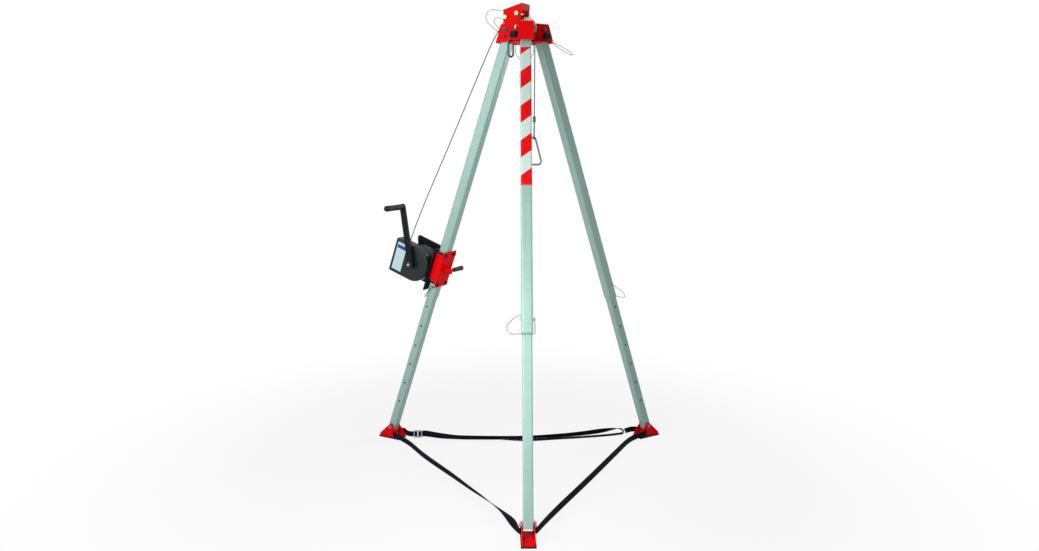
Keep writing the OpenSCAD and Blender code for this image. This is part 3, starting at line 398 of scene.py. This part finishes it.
def make_head_lanyards():
    """The stop pins' wires on the head, with their pressed sleeves at shares of the wire's length."""
    routes = {
        "big": (LEGS["left"],
                [[118, 37, -11], [136, 40, 4], [160, 42, 24], [183, 43, 50], [184, 43, 74], [170, 43, 90],
                 [150, 43, 95], [127, 43, 91], [108, 42, 91], [90, 41, 88]]),
        "small": (LEGS["left"],
                  [[88, 41, 44], [104, 44, 53], [124, 46, 56], [139, 46, 50], [139, 46, 38], [128, 44, 22],
                   [116, 39, 10], [108, 37, 4]]),
        "top": (LEGS["left"], [[16, -41, 92], [6, -44, 82], [-2, -46, 68], [-7, -44, 56], [-10, -41, 46]]),
        "right": (LEGS["right"],
                  [[118, -37, -44], [138, -41, -54], [166, -45, -66], [200, -46, -80], [228, -46, -93],
                   [240, -45, -102], [232, -44, -105], [204, -43, -95], [168, -41, -78], [140, -38, -60],
                   [128, -37, -50]]),
        "back": (0, [[-34, 65, -48], [-42, 74, -70], [-40, 82, -98], [-22, 87, -124], [2, 88, -134], [26, 87, -124],
                     [43, 82, -98], [44, 74, -70], [34, 65, -48]])}
    presses = {"big": [(0.62, 0.69), (0.90, 0.97)], "small": [(0.05, 0.14)], "top": [(0.12, 0.28)],
               "right": [(0.03, 0.075), (0.93, 0.975)], "back": [(0.03, 0.08), (0.92, 0.97)]}
    wires, ends = [], []
    for name, (az, route) in routes.items():
        points = smooth([on_head(az, *p) for p in route], 10)
        wire = rope("head_lanyard_" + name, points, LANYARD_D, lay=LANYARD_LAY, step=LANYARD_STEP)
        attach(wire, "head")
        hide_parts("head_lanyards")
        for k, (a, b) in enumerate(presses[name]):
            end = sleeve("press_sleeve_%s_%d" % (name, k), points, a, b, *SLEEVE_R)
            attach(end, "head")
            ends.append(end)
        wires.append(wire)
    return wires, ends


def make_pin_lanyards():
    """Each lock pin's wire from the upper tube round to the pin's bail, in two lengths that part at a sleeve."""
    route = [[8, -25.3, 14], [9, -44, 10], [13, -66, -6], [25, -86, -30], [31, -84, -54], [32, -66, -68],
             [30, -50, -67], [26.97, -34.4, -66.76]]
    half = 0.70
    wires, ends = [], []
    for leg, az in LEGS.items():
        points = smooth([on_leg(az, n, t, z - LOCK_S * 1000) for n, t, z in route], 10)
        first, second = spaced(points, 0.002, 0, half), spaced(points, 0.002, half, 1)
        a = rope("pin_lanyard_tube_side_" + leg, first, LANYARD_D, lay=LANYARD_LAY, step=LANYARD_STEP)
        b = rope("pin_lanyard_pin_side_" + leg, second, LANYARD_D, lay=LANYARD_LAY, step=LANYARD_STEP)
        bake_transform(a)
        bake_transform(b)
        press = sleeve("pin_lanyard_sleeve_" + leg, points, half - 0.03, half + 0.03, *SLEEVE_R)
        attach(press, "pin_" + leg)
        eye = sleeve("pin_lanyard_end_" + leg, points, 0.90, 0.96, *SLEEVE_R)
        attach(eye, "bail_" + leg)
        for piece in (a, b):
            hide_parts("pin_lanyard_" + leg)
        wires += [a, b]
        ends += [press, eye]
    return wires, ends


def slot_end(leg, side, turn):
    """The first points of a strap, from inside a foot out through the slot in its side."""
    return [list(on_foot(LEGS[leg], SLOT_X, side * y, SLOT_Z) * 1000) + [turn] for y in (20, 31, SLOT_MOUTH)]


def strap_route(start, middle, end):
    """A strap's points with the turn of its width in degrees, from millimetres to metres."""
    p = smooth(start + middle + end[::-1], 10)
    p[:, :3] /= 1000
    return p


def share_at_x(route, x, first):
    """The share of a route's length at which it crosses x, counted from its start or from its end."""
    cross = [i for i in range(len(route) - 1) if (route[i][0] - x) * (route[i + 1][0] - x) <= 0]
    run = run_of(route)
    return run[cross[0] if first else cross[-1]] / run[-1]


def make_straps():
    """The webbing between the feet, cut into short ends at the feet, left in place without a parent, and long parts,
    each carried by a leg's lower tube.
    """
    left_front = strap_route(
        slot_end("left", 1, 0),
        [[-600, 240, 27, -2], [-497, 60, 22, 0], [-347, -172, 18, 10], [-255, -322, 17, 24], [-174, -456, 19, 42],
         [-92, -620, 27, 78]], slot_end("front", -1, 180))
    front_right = strap_route(
        slot_end("front", 1, 0),
        [[78, -690, 28, -6], [152, -535, 21, -14], [321, -217, 18, -18], [486, 92, 20, -18], [579, 255, 25, -12],
         [640, 318, 29, -4]], slot_end("right", -1, 0))
    rear = strap_route(
        slot_end("left", -1, 0),
        [[-640, 416, 30, 0], [-626, 394, 27, 0], [-608, 379, 26, 0], [-590, 376, 26, 0], [-562, 376, 26, 0],
         [-534, 376, 26, 0], [-512, 375.5, 25, 0], [-420, 350, 21, 10], [-300, 338, 19, 30], [0, 335, 18.5, 38],
         [220, 359, 20, 30], [350, 385, 22, 20], [447, 404, 28, 18], [520, 420, 33, 50], [556, 424, 33, 80],
         [574, 424, 28, 90], [582, 424, 18, 90], [574, 424, 8, 90], [552, 420, 4.5, 90], [447, 396, 3, 90],
         [220, 359, 2.8, 90], [0, 336.6, 2.8, 92], [-300, 334.3, 18, 150], [-420, 345.6, 25, 170],
         [-512, 371, 31, 180], [-537.5, 371.2, 30, 180]], [])
    tether = strap_route(
        slot_end("right", 1, 0), [[636, 424, 31, 0], [616, 424, 29, 0], [598, 424, 23, 0], [588, 424, 19, 0]], [])
    middle_x, past_slide_x = 0, -0.46
    out, back = share_at_x(rear, middle_x, True), share_at_x(rear, middle_x, False)
    leaves, returns = share_at_x(rear, past_slide_x, True), share_at_x(rear, past_slide_x, False)
    a, b = (STRAP_END / run_of(route)[-1] for route in (left_front, front_right))
    side = (0, -1, 0)
    lengths = [("left_front_left_half", "left_front", "left", 1, left_front, a, 0.5, None),
               ("left_front_front_half", "left_front", "front", -1, left_front, 0.5, 1 - a, None),
               ("front_right_front_half", "front_right", "front", 1, front_right, b, 0.5, None),
               ("front_right_right_half", "front_right", "right", -1, front_right, 0.5, 1 - b, None),
               ("rear_left_part", "left_right", "left", -1, rear, leaves, out, side),
               ("rear_loop", "left_right", "right", 1, rear, out, back, side),
               ("rear_return", "left_right", "left", -1, rear, back, returns, side)]
    ends = [("left_front_left_end", "left_front", "left", 1, left_front, 0.0, a, None),
            ("left_front_front_end", "left_front", "front", -1, left_front, 1 - a, 1.0, None),
            ("front_right_front_end", "front_right", "front", 1, front_right, 0.0, b, None),
            ("front_right_right_end", "front_right", "right", -1, front_right, 1 - b, 1.0, None),
            ("rear_left_end", "left_right", "left", -1, rear, 0.0, leaves, side),
            ("rear_return_end", "left_right", "left", -1, rear, returns, 1.0, side),
            ("rear_tether", "left_right", "right", 1, tether, 0.0, 1.0, None)]
    made = []
    for tilts, rows in ((False, lengths), (True, ends)):
        for name, node, leg, turn, route, start, end, steady in rows:
            strap = webbing("strap_" + name, route, start, end, steady)
            if tilts:
                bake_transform(strap)
            else:
                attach(strap, "lower_" + leg)
                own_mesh(strap)
            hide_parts("strap_" + node)
            made.append(strap)
    return made


cables = make_cables()
head_wires, head_sleeves = make_head_lanyards()
pin_wires, pin_sleeves = make_pin_lanyards()
straps = make_straps()


# Finishes

def linear(r, g, b):
    """A colour written as it looks on a screen, in the scene's own linear values."""
    def one(c):
        c = c / 255
        return c / 12.92 if c <= 0.04045 else ((c + 0.055) / 1.055) ** 2.4
    return (one(r), one(g), one(b), 1.0)


def add(tree, kind, put=None, **props):
    """A node with its settings, its values and its incoming links."""
    made = tree.nodes.new(kind)
    for key, value in props.items():
        setattr(made, key, value)
    for key, value in (put or {}).items():
        if isinstance(value, bpy.types.NodeSocket):
            tree.links.new(value, made.inputs[key])
        else:
            made.inputs[key].default_value = value
    return made


def calc(tree, operation, *values):
    return add(tree, "ShaderNodeMath", dict(enumerate(values)), operation=operation).outputs[0]


def blank(name):
    mat = bpy.data.materials.new(name)
    mat.use_nodes = True
    return mat, mat.node_tree, mat.node_tree.nodes["Principled BSDF"]


def group(name, outputs, inputs):
    """An effect with named values in and out, for more than one finish."""
    made = bpy.data.node_groups.new(name, "ShaderNodeTree")
    for label in outputs:
        made.interface.new_socket(name=label, in_out="OUTPUT", socket_type="NodeSocketFloat")
    for label, value in inputs.items():
        made.interface.new_socket(name=label, in_out="INPUT", socket_type="NodeSocketFloat").default_value = value
    return made, made.nodes.new("NodeGroupInput").outputs, made.nodes.new("NodeGroupOutput").inputs


def use(tree, made, **values):
    placed = add(tree, "ShaderNodeGroup", node_tree=made)
    for key, value in values.items():
        placed.inputs[key].default_value = value
    return placed


def noise(tree, at, scale, detail, rough):
    put = {"Vector": at, "Scale": scale, "Detail": detail, "Roughness": rough}
    return add(tree, "ShaderNodeTexNoise", put).outputs["Fac"]


def window(tree, value, low, high):
    """0 at low, 1 at high, even between them."""
    return add(tree, "ShaderNodeMapRange", {"Value": value, "From Min": low, "From Max": high}).outputs["Result"]


def paint_surface():
    """Broad tone patches, the fine orange peel of sprayed paint, and dust."""
    made, given, out = group("paint_surface", ("Patch", "Peel", "Dust"),
                             {"PatchScale": 9.0, "PeelScale": 420.0, "DustScale": 60.0})
    at = add(made, "ShaderNodeTexCoord").outputs["Object"]
    made.links.new(noise(made, at, given["PatchScale"], 4.0, 0.6), out["Patch"])
    made.links.new(noise(made, at, given["PeelScale"], 2.0, 0.5), out["Peel"])
    made.links.new(window(made, noise(made, at, given["DustScale"], 6.0, 0.75), 0.52, 0.78), out["Dust"])
    return made


def edge_wear():
    """Where paint rubs thin: along edges, broken up by noise."""
    made, given, out = group("edge_wear", ("Mask",), {"Width": 0.0013, "RubScale": 55.0, "Amount": 1.0})
    soft = add(made, "ShaderNodeBevel", {"Radius": given["Width"]}, samples=4).outputs["Normal"]
    flat = add(made, "ShaderNodeNewGeometry").outputs["Normal"]
    bend = add(made, "ShaderNodeVectorMath", {0: soft, 1: flat}, operation="DOT_PRODUCT").outputs["Value"]
    at = add(made, "ShaderNodeTexCoord").outputs["Object"]
    rubbed = window(made, noise(made, at, given["RubScale"], 5.0, 0.7), 0.45, 0.68)
    mask = calc(made, "MULTIPLY", window(made, bend, 0.985, 0.80), rubbed)
    made.links.new(calc(made, "MULTIPLY", mask, given["Amount"]), out["Mask"])
    return made


SURFACE, WEAR = paint_surface(), edge_wear()


def mixed(tree, share, a, b):
    """Colour a, turning into colour b by share."""
    return add(tree, "ShaderNodeMix", {0: share, 6: a, 7: b}, data_type="RGBA").outputs[2]


def spread_of(tree, value, low, high):
    """low where value is 0, high where it is 1."""
    return add(tree, "ShaderNodeMapRange", {"Value": value, "To Min": low, "To Max": high}).outputs["Result"]


def bumped(tree, shader, height, strength, distance):
    b = add(tree, "ShaderNodeBump", {"Height": height, "Strength": strength, "Distance": distance})
    tree.links.new(b.outputs["Normal"], shader.inputs["Normal"])


def by_length(tree):
    """A long piece's own places, across it and along it, from its map in millimetres."""
    uv = add(tree, "ShaderNodeTexCoord").outputs["UV"]
    apart = add(tree, "ShaderNodeSeparateXYZ", {"Vector": uv}).outputs
    return apart["X"], apart["Y"]


def painted(name, deep, light, bare, rough, wear=0.8, shine=0.3, bump=0.10):
    """Sprayed or powder coat over metal."""
    mat, tree, shader = blank(name)
    s, w = use(tree, SURFACE), use(tree, WEAR, Amount=wear)
    tone = mixed(tree, s.outputs["Patch"], deep, light)
    tree.links.new(mixed(tree, w.outputs["Mask"], tone, bare), shader.inputs["Base Color"])
    tree.links.new(spread_of(tree, s.outputs["Dust"], rough, rough + 0.16), shader.inputs["Roughness"])
    shader.inputs["Specular IOR Level"].default_value = shine
    bumped(tree, shader, s.outputs["Peel"], bump, 0.0006)
    return mat


def drawn_aluminium(name, az):
    """Anodised square tube: fine die lines along the leg, faint handling marks."""
    mat, tree, shader = blank(name)
    at = add(tree, "ShaderNodeTexCoord").outputs["Object"]
    for key, value in (("Rotation", (0, 0, math.radians(-az))), ("Rotation", (0, SPREAD, 0)), ("Scale", (1, 1, 0.012))):
        at = add(tree, "ShaderNodeMapping", {"Vector": at, key: value}, vector_type="POINT").outputs[0]
    lines = noise(tree, at, 950.0, 3.0, 0.6)
    s = use(tree, SURFACE)
    tone = mixed(tree, s.outputs["Patch"], linear(142, 177, 168), linear(156, 190, 180))
    tone = mixed(tree, spread_of(tree, lines, 0.0, 0.28), tone, linear(96, 124, 117))
    scuffed = mixed(tree, spread_of(tree, s.outputs["Dust"], 0.0, 0.16), tone, linear(196, 214, 207))
    tree.links.new(scuffed, shader.inputs["Base Color"])
    shader.inputs["Metallic"].default_value = 0.12
    shader.inputs["Specular IOR Level"].default_value = 0.3
    tree.links.new(spread_of(tree, lines, 0.26, 0.42), shader.inputs["Roughness"])
    bumped(tree, shader, lines, 0.12, 0.0004)
    return mat


def plated(name, deep, light, rough):
    """Zinc plate: a faint bluish and yellow bloom and soft handling marks."""
    mat, tree, shader = blank(name)
    s, w = use(tree, SURFACE), use(tree, WEAR)
    tone = mixed(tree, s.outputs["Patch"], deep, light)
    tone = mixed(tree, spread_of(tree, s.outputs["Dust"], 0.0, 0.35), tone, linear(176, 168, 150))
    tree.links.new(mixed(tree, w.outputs["Mask"], tone, linear(225, 226, 224)), shader.inputs["Base Color"])
    shader.inputs["Metallic"].default_value = 0.85
    tree.links.new(spread_of(tree, s.outputs["Peel"], rough, rough + 0.14), shader.inputs["Roughness"])
    bumped(tree, shader, s.outputs["Peel"], 0.08, 0.0004)
    return mat


def stranded(name, deep, light):
    """Wire rope: the single wires of each strand, with painted shade darkening the valleys between them."""
    mat, tree, shader = blank(name)
    across, along = by_length(tree)
    wires, per_mm = 24.0, 0.45
    count = calc(tree, "ADD", calc(tree, "MULTIPLY", across, wires), calc(tree, "MULTIPLY", along, per_mm))
    height = window(tree, calc(tree, "SINE", calc(tree, "MULTIPLY", count, 2 * math.pi)), -1.0, 1.0)
    s = use(tree, SURFACE)
    # painted shade: the colour turns to the deep tone where the wires dip into their valleys
    tone = mixed(tree, height, deep, light)
    tone = mixed(tree, spread_of(tree, s.outputs["Dust"], 0.0, 0.4), tone, deep)
    tree.links.new(tone, shader.inputs["Base Color"])
    shader.inputs["Metallic"].default_value = 0.35
    tree.links.new(spread_of(tree, s.outputs["Peel"], 0.30, 0.46), shader.inputs["Roughness"])
    bumped(tree, shader, height, 0.35, 0.0003)
    return mat


def woven(name, dark, light):
    """Herringbone webbing: ribs across, sides of the V meeting in the middle, a fuzzy sheen."""
    mat, tree, shader = blank(name)
    across, along = by_length(tree)
    weft_mm, warp_mm = 2.2, 1.5
    slant = calc(tree, "ADD", calc(tree, "ABSOLUTE", across), along)
    weft = calc(tree, "SINE", calc(tree, "MULTIPLY", slant, 2 * math.pi / weft_mm))
    warp = calc(tree, "SINE", calc(tree, "MULTIPLY", across, 2 * math.pi / warp_mm))
    height = window(tree, calc(tree, "MULTIPLY", weft, warp), -1.0, 1.0)
    s = use(tree, SURFACE)
    tone = mixed(tree, height, dark, light)
    tone = mixed(tree, spread_of(tree, s.outputs["Dust"], 0.0, 0.25), tone, linear(52, 54, 58))
    tree.links.new(tone, shader.inputs["Base Color"])
    tree.links.new(spread_of(tree, s.outputs["Patch"], 0.72, 0.90), shader.inputs["Roughness"])
    shader.inputs["Specular IOR Level"].default_value = 0.03
    shader.inputs["Sheen Weight"].default_value = 0.01
    shader.inputs["Sheen Roughness"].default_value = 0.4
    bumped(tree, shader, height, 0.6, 0.0006)
    return mat


def moulded(name, deep, light, rough, grain=0.25):
    """Moulded plastic or rubber with a fine leathery grain."""
    mat, tree, shader = blank(name)
    s = use(tree, SURFACE)
    at = add(tree, "ShaderNodeTexCoord").outputs["Object"]
    cells = add(tree, "ShaderNodeTexVoronoi", {"Vector": at, "Scale": 650.0})
    tone = mixed(tree, s.outputs["Patch"], deep, light)
    tone = mixed(tree, spread_of(tree, s.outputs["Dust"], 0.0, 0.18), tone, linear(84, 90, 96))
    tree.links.new(tone, shader.inputs["Base Color"])
    tree.links.new(spread_of(tree, s.outputs["Peel"], rough, rough + 0.15), shader.inputs["Roughness"])
    shader.inputs["Specular IOR Level"].default_value = 0.14
    bumped(tree, shader, cells.outputs["Distance"], grain, 0.0005)
    return mat


def hazard_striped(name):
    """Red and white tape; the slanting bands are laid out by the tape's own width and length."""
    mat, tree, shader = blank(name)
    across, along = by_length(tree)
    face, rise, first, pair = 50, 37.5, 220.7, 161.3
    slope = calc(tree, "MULTIPLY_ADD", across, rise / face, rise / 2 - first)
    count = calc(tree, "MULTIPLY", calc(tree, "ADD", slope, along), 1 / pair)
    band = calc(tree, "LESS_THAN", calc(tree, "FRACT", count), 0.5)
    s = use(tree, SURFACE)
    red = mixed(tree, s.outputs["Patch"], linear(214, 8, 14), linear(230, 14, 20))
    pale = mixed(tree, s.outputs["Patch"], linear(186, 210, 201), linear(200, 222, 213))
    tone = mixed(tree, band, pale, red)
    tone = mixed(tree, spread_of(tree, s.outputs["Dust"], 0.0, 0.12), tone, linear(150, 140, 132))
    tree.links.new(tone, shader.inputs["Base Color"])
    tree.links.new(spread_of(tree, s.outputs["Dust"], 0.28, 0.42), shader.inputs["Roughness"])
    shader.inputs["Specular IOR Level"].default_value = 0.08
    bumped(tree, shader, s.outputs["Peel"], 0.06, 0.0004)
    return mat


ALUMINIUM = {leg: drawn_aluminium("tube_aluminium_" + leg, az) for leg, az in LEGS.items()}
RED = painted("red_powder_coat", linear(214, 2, 8), linear(236, 3, 11), linear(150, 60, 58), 0.50, 0.25, 0.06)
BLACK = painted("black_enamel", linear(9, 12, 14), linear(17, 22, 25), linear(62, 72, 78), 0.42, 0.5, 0.10)
COVER = painted("black_cover_enamel", linear(17, 24, 26), linear(29, 38, 41), linear(70, 84, 90), 0.36, 0.4, 0.22)
ZINC = plated("zinc_plate", linear(170, 174, 176), linear(196, 199, 200), 0.28)
YELLOW_ZINC = plated("yellow_zinc", linear(166, 148, 98), linear(194, 177, 126), 0.30)
DARK_STEEL = plated("blued_steel", linear(30, 34, 37), linear(48, 53, 56), 0.34)
STEEL = plated("grey_steel", linear(60, 66, 67), linear(88, 94, 94), 0.32)
HOOK_STEEL = plated("hook_steel", linear(92, 106, 105), linear(122, 136, 134), 0.30)
WIRE = plated("bail_wire", linear(70, 78, 78), linear(98, 106, 104), 0.30)
CABLE = stranded("cable_strands", linear(24, 28, 29), linear(84, 90, 90))
LANYARD = stranded("lanyard_strands", linear(14, 14, 17), linear(50, 48, 52))
WEBBING = woven("black_webbing", linear(9, 11, 15), linear(24, 28, 35))
KNOB = moulded("black_knob", linear(7, 8, 9), linear(15, 16, 18), 0.38)
GRIP = moulded("grip_plastic", linear(12, 19, 25), linear(22, 31, 38), 0.40, 0.4)
SOLE = moulded("sole_rubber", linear(14, 14, 15), linear(28, 27, 27), 0.62, 0.5)
NYLON = moulded("sheave_nylon", linear(214, 208, 184), linear(228, 223, 202), 0.42, 0.12)
TAPE = hazard_striped("hazard_tape")
LABEL = painted("label_face", linear(176, 206, 213), linear(190, 218, 225), linear(180, 190, 196), 0.35, 0.2, 0.3,
                0.04)
BAND = painted("label_band", linear(34, 44, 150), linear(46, 58, 166), linear(120, 126, 160), 0.35, 0.2, 0.3, 0.04)


def dress(obj, mat):
    obj.data.materials.clear()
    obj.data.materials.append(mat)


def soften(obj, width, segments=2):
    """A small rounded edge that catches the light."""
    m = obj.modifiers.new("rounded edges", "BEVEL")
    m.width, m.segments, m.limit_method, m.angle_limit = width, segments, "ANGLE", math.radians(40)
    m.harden_normals = True
    m.use_clamp_overlap = True


SHEET_EDGE, FRAME_EDGE = 0.0006, 0.0007


def dress_solids():
    """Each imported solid's finish, and soft edges on the sheet metal."""
    for leg in LEGS:
        for node in ("upper_tube_", "lower_tube_"):
            dress(nodes[node + leg], ALUMINIUM[leg])
        for node in (leg + "_bracket", "foot_" + leg):
            dress(nodes[node], RED)
            soften(nodes[node], SHEET_EDGE)
        for node, mat in (("stop_pin_", KNOB), ("lock_pin_", ZINC), ("pin_bail_", WIRE), ("foot_sole_", SOLE),
                          ("foot_bolt_", HOOK_STEEL)):
            dress(nodes[node + leg], mat)
    for node in ("hub_plate", "pulley_bracket", "clamp_saddle", "clamp_plate"):
        dress(nodes[node], RED)
        soften(nodes[node], SHEET_EDGE)
    for node, mat in (("winch_frame", BLACK), ("winch_cover", COVER), ("crank_arm", BLACK), ("clamp_screw", RED),
                      ("clamp_bolts", BLACK), ("clamp_grip", GRIP), ("crank_grip", GRIP), ("drum", STEEL),
                      ("ratchet_wheel", STEEL), ("pawl", STEEL), ("pulley_bolts", YELLOW_ZINC),
                      ("pivot_bolts", DARK_STEEL), ("eye_ring", STEEL), ("cable_end", STEEL), ("hook_gate", ZINC),
                      ("main_sheave", NYLON), ("guide_roller", NYLON), ("strap_slide", ZINC)):
        dress(nodes[node], mat)
    soften(nodes["winch_frame"], FRAME_EDGE)


dress_solids()
for pieces, mat in ((cables["rope"], CABLE), ([cables["hook"]], HOOK_STEEL), (head_wires + pin_wires, LANYARD),
                    (head_sleeves + pin_sleeves, ZINC), (straps, WEBBING)):
    for piece in pieces:
        dress(piece, mat)


# Details on the solids

def hazard_tape():
    """Tape on the front face of the front upper tube, wrapped onto the rounded corners."""
    half, corner, lift = 25, 8, 0.3
    middle = half - corner
    line = [(middle + n, -middle + t) for n, t in arc(0, 0, corner + lift, np.linspace(-72, 0, 7))]
    line += [(half + lift, t) for t in (-12, 0, 12)]
    line += [(n, -t) for n, t in line[6::-1]]
    rows = np.linspace(104, 748, 60)
    rings = [np.array([on_leg(LEGS["front"], n, t, -s) for n, t in line]
                      + [on_leg(LEGS["front"], n - lift * 0.8, t, -s) for n, t in reversed(line)]) for s in rows]
    across = [t for n, t in line + line[::-1]]
    tape = skin("hazard_tape", rings, across + [across[0]], rows)
    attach(tape, "upper_front")
    dress(tape, TAPE)


hazard_tape()


def plate_outline(x0, x1, z0, z1, r, steps=6):
    """A rectangle with rounded corners."""
    out = []
    for cx, cz, a in ((x1 - r, z1 - r, 0), (x0 + r, z1 - r, 90), (x0 + r, z0 + r, 180), (x1 - r, z0 + r, 270)):
        out += arc(cx, cz, r, [a + k * 90 / steps for k in range(steps + 1)])
    return out


def winch_label():
    """A blank label plate with a plain coloured band, on the near face of the winch cover."""
    for name, box, y, mat in (("winch_label_plate", (58, 117, -72, 77), 62, LABEL),
                              ("winch_label_band", (61, 114, 46, 64), 62.5, BAND)):
        outline = plate_outline(*box, 4)
        cx, cz = (box[0] + box[1]) / 2, (box[2] + box[3]) / 2
        rings = [np.array([on_winch(cx + (x - cx) * k, y + h, cz + (z - cz) * k) for x, z in outline])
                 for h, k in ((-0.2, 1.0), (0.3, 1.0), (0.5, 0.985), (0.52, 0.5))]
        piece = skin(name, rings, shares(len(outline)), [0, 1, 2, 30], soft=False)
        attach(piece, "upper_left")
        dress(piece, mat)


winch_label()


def crank_nut():
    """Washer, nut and stud end that hold the crank on its shaft."""
    for name, profile, sides, mat in (
            ("crank_washer", [(7, 87.8), (16, 87.8), (16.4, 88.3), (16.4, 90), (16, 90.4), (7, 90.4)], 40, DARK_STEEL),
            ("crank_nut", [(8, 90.3), (11.2, 90.4), (11.6, 91), (11.6, 97.4), (10.2, 98.8), (7, 98.8)], 6, STEEL),
            ("crank_stud_end", [(4, 98), (6, 98), (6, 101.6), (5, 102.8), (2, 102.8)], 24, ZINC)):
        piece = turned(name, on_winch, profile, sides)
        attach(piece, "crank")
        dress(piece, mat)


def strap_ring():
    """Wire ring that joins the rear strap's loop to its tether at the right foot."""
    outline = plate_outline(573, 595, 407, 441, 4)
    ring = bent_wire("rear_strap_ring", [(x / 1000, y / 1000, 0.018) for x, y in outline], 0.0017)
    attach(ring, "lower_right")
    dress(ring, ZINC)


crank_nut()
strap_ring()


# Floor and light

def seen_rays(tree):
    """1 for what the camera, a mirror or glass looks at, 0 for light that falls on the object."""
    ray = add(tree, "ShaderNodeLightPath").outputs
    seen = calc(tree, "ADD", ray["Is Camera Ray"], ray["Is Glossy Ray"])
    put = {0: seen, 1: ray["Is Transmission Ray"]}
    return add(tree, "ShaderNodeMath", put, operation="ADD", use_clamp=True).outputs[0]


def pale_floor():
    """A floor that keeps the shadow near the feet and fades to the white background further out."""
    mat, tree, shader = blank("studio_floor")
    s = use(tree, SURFACE)
    tree.links.new(mixed(tree, s.outputs["Patch"], (0.70, 0.70, 0.70, 1), (0.73, 0.73, 0.73, 1)),
                   shader.inputs["Base Color"])
    shader.inputs["Roughness"].default_value = 0.9
    shader.inputs["Specular IOR Level"].default_value = 0.0
    place = add(tree, "ShaderNodeNewGeometry").outputs["Position"]
    far = add(tree, "ShaderNodeVectorMath", {0: place}, operation="LENGTH").outputs["Value"]
    fade = {"Value": far, "From Min": 1.0, "From Max": 2.6, "To Min": 0.84, "To Max": 1.0}
    share = add(tree, "ShaderNodeMapRange", fade, interpolation_type="SMOOTHSTEP").outputs["Result"]
    share = calc(tree, "MULTIPLY", share, seen_rays(tree))
    white = add(tree, "ShaderNodeEmission", {"Color": (1, 1, 1, 1), "Strength": 1.0})
    both = add(tree, "ShaderNodeMixShader", {0: share, 1: shader.outputs[0], 2: white.outputs[0]})
    tree.links.new(both.outputs[0], tree.nodes["Material Output"].inputs["Surface"])
    return mat


LAMPS = {"key": ((-4.4, -1.8, 2.6), (0, 0, 1.1), 2.2, 3.0, 72),
         "front": ((-1.9, -3.2, 2.3), (0, -0.3, 1.9), 1.2, 1.6, 54),
         "near": ((-0.30, -1.65, 1.15), (0, -0.62, 0.75), 0.4, 1.0, 13),
         "side": ((3.6, 2.3, 2.2), (0, 0, 1.2), 1.8, 2.8, 90),
         "top": ((0.0, -0.8, 5.2), (0, -0.2, 0.6), 3.0, 3.0, 48)}


def set_stage():
    """A wide pale floor, white surroundings with little light of their own, and five soft lamps."""
    size, fill = 14, 0.09
    floor = mesh_object("floor", [(-size, -size, 0), (size, -size, 0), (size, size, 0), (-size, size, 0)],
                        [(0, 1, 2, 3)])
    dress(floor, pale_floor())
    world = bpy.data.worlds.new("studio")
    scene.world = world
    world.use_nodes = True
    tree = world.node_tree
    back = tree.nodes["Background"]
    back.inputs["Color"].default_value = (1, 1, 1, 1)
    level = add(tree, "ShaderNodeMapRange", {"Value": seen_rays(tree), "To Min": fill, "To Max": 1.0})
    tree.links.new(level.outputs["Result"], back.inputs["Strength"])
    for name, (place, aim, wide, high, power) in LAMPS.items():
        data = bpy.data.lights.new(name, "AREA")
        data.shape = "RECTANGLE"
        data.size, data.size_y, data.energy = wide, high, power
        lamp = bpy.data.objects.new(name, data)
        lamp.location = place
        lamp.visible_camera = False
        lamp.rotation_euler = (Vector(aim) - Vector(place)).to_track_quat("-Z", "Y").to_euler()
        scene.collection.objects.link(lamp)


set_stage()
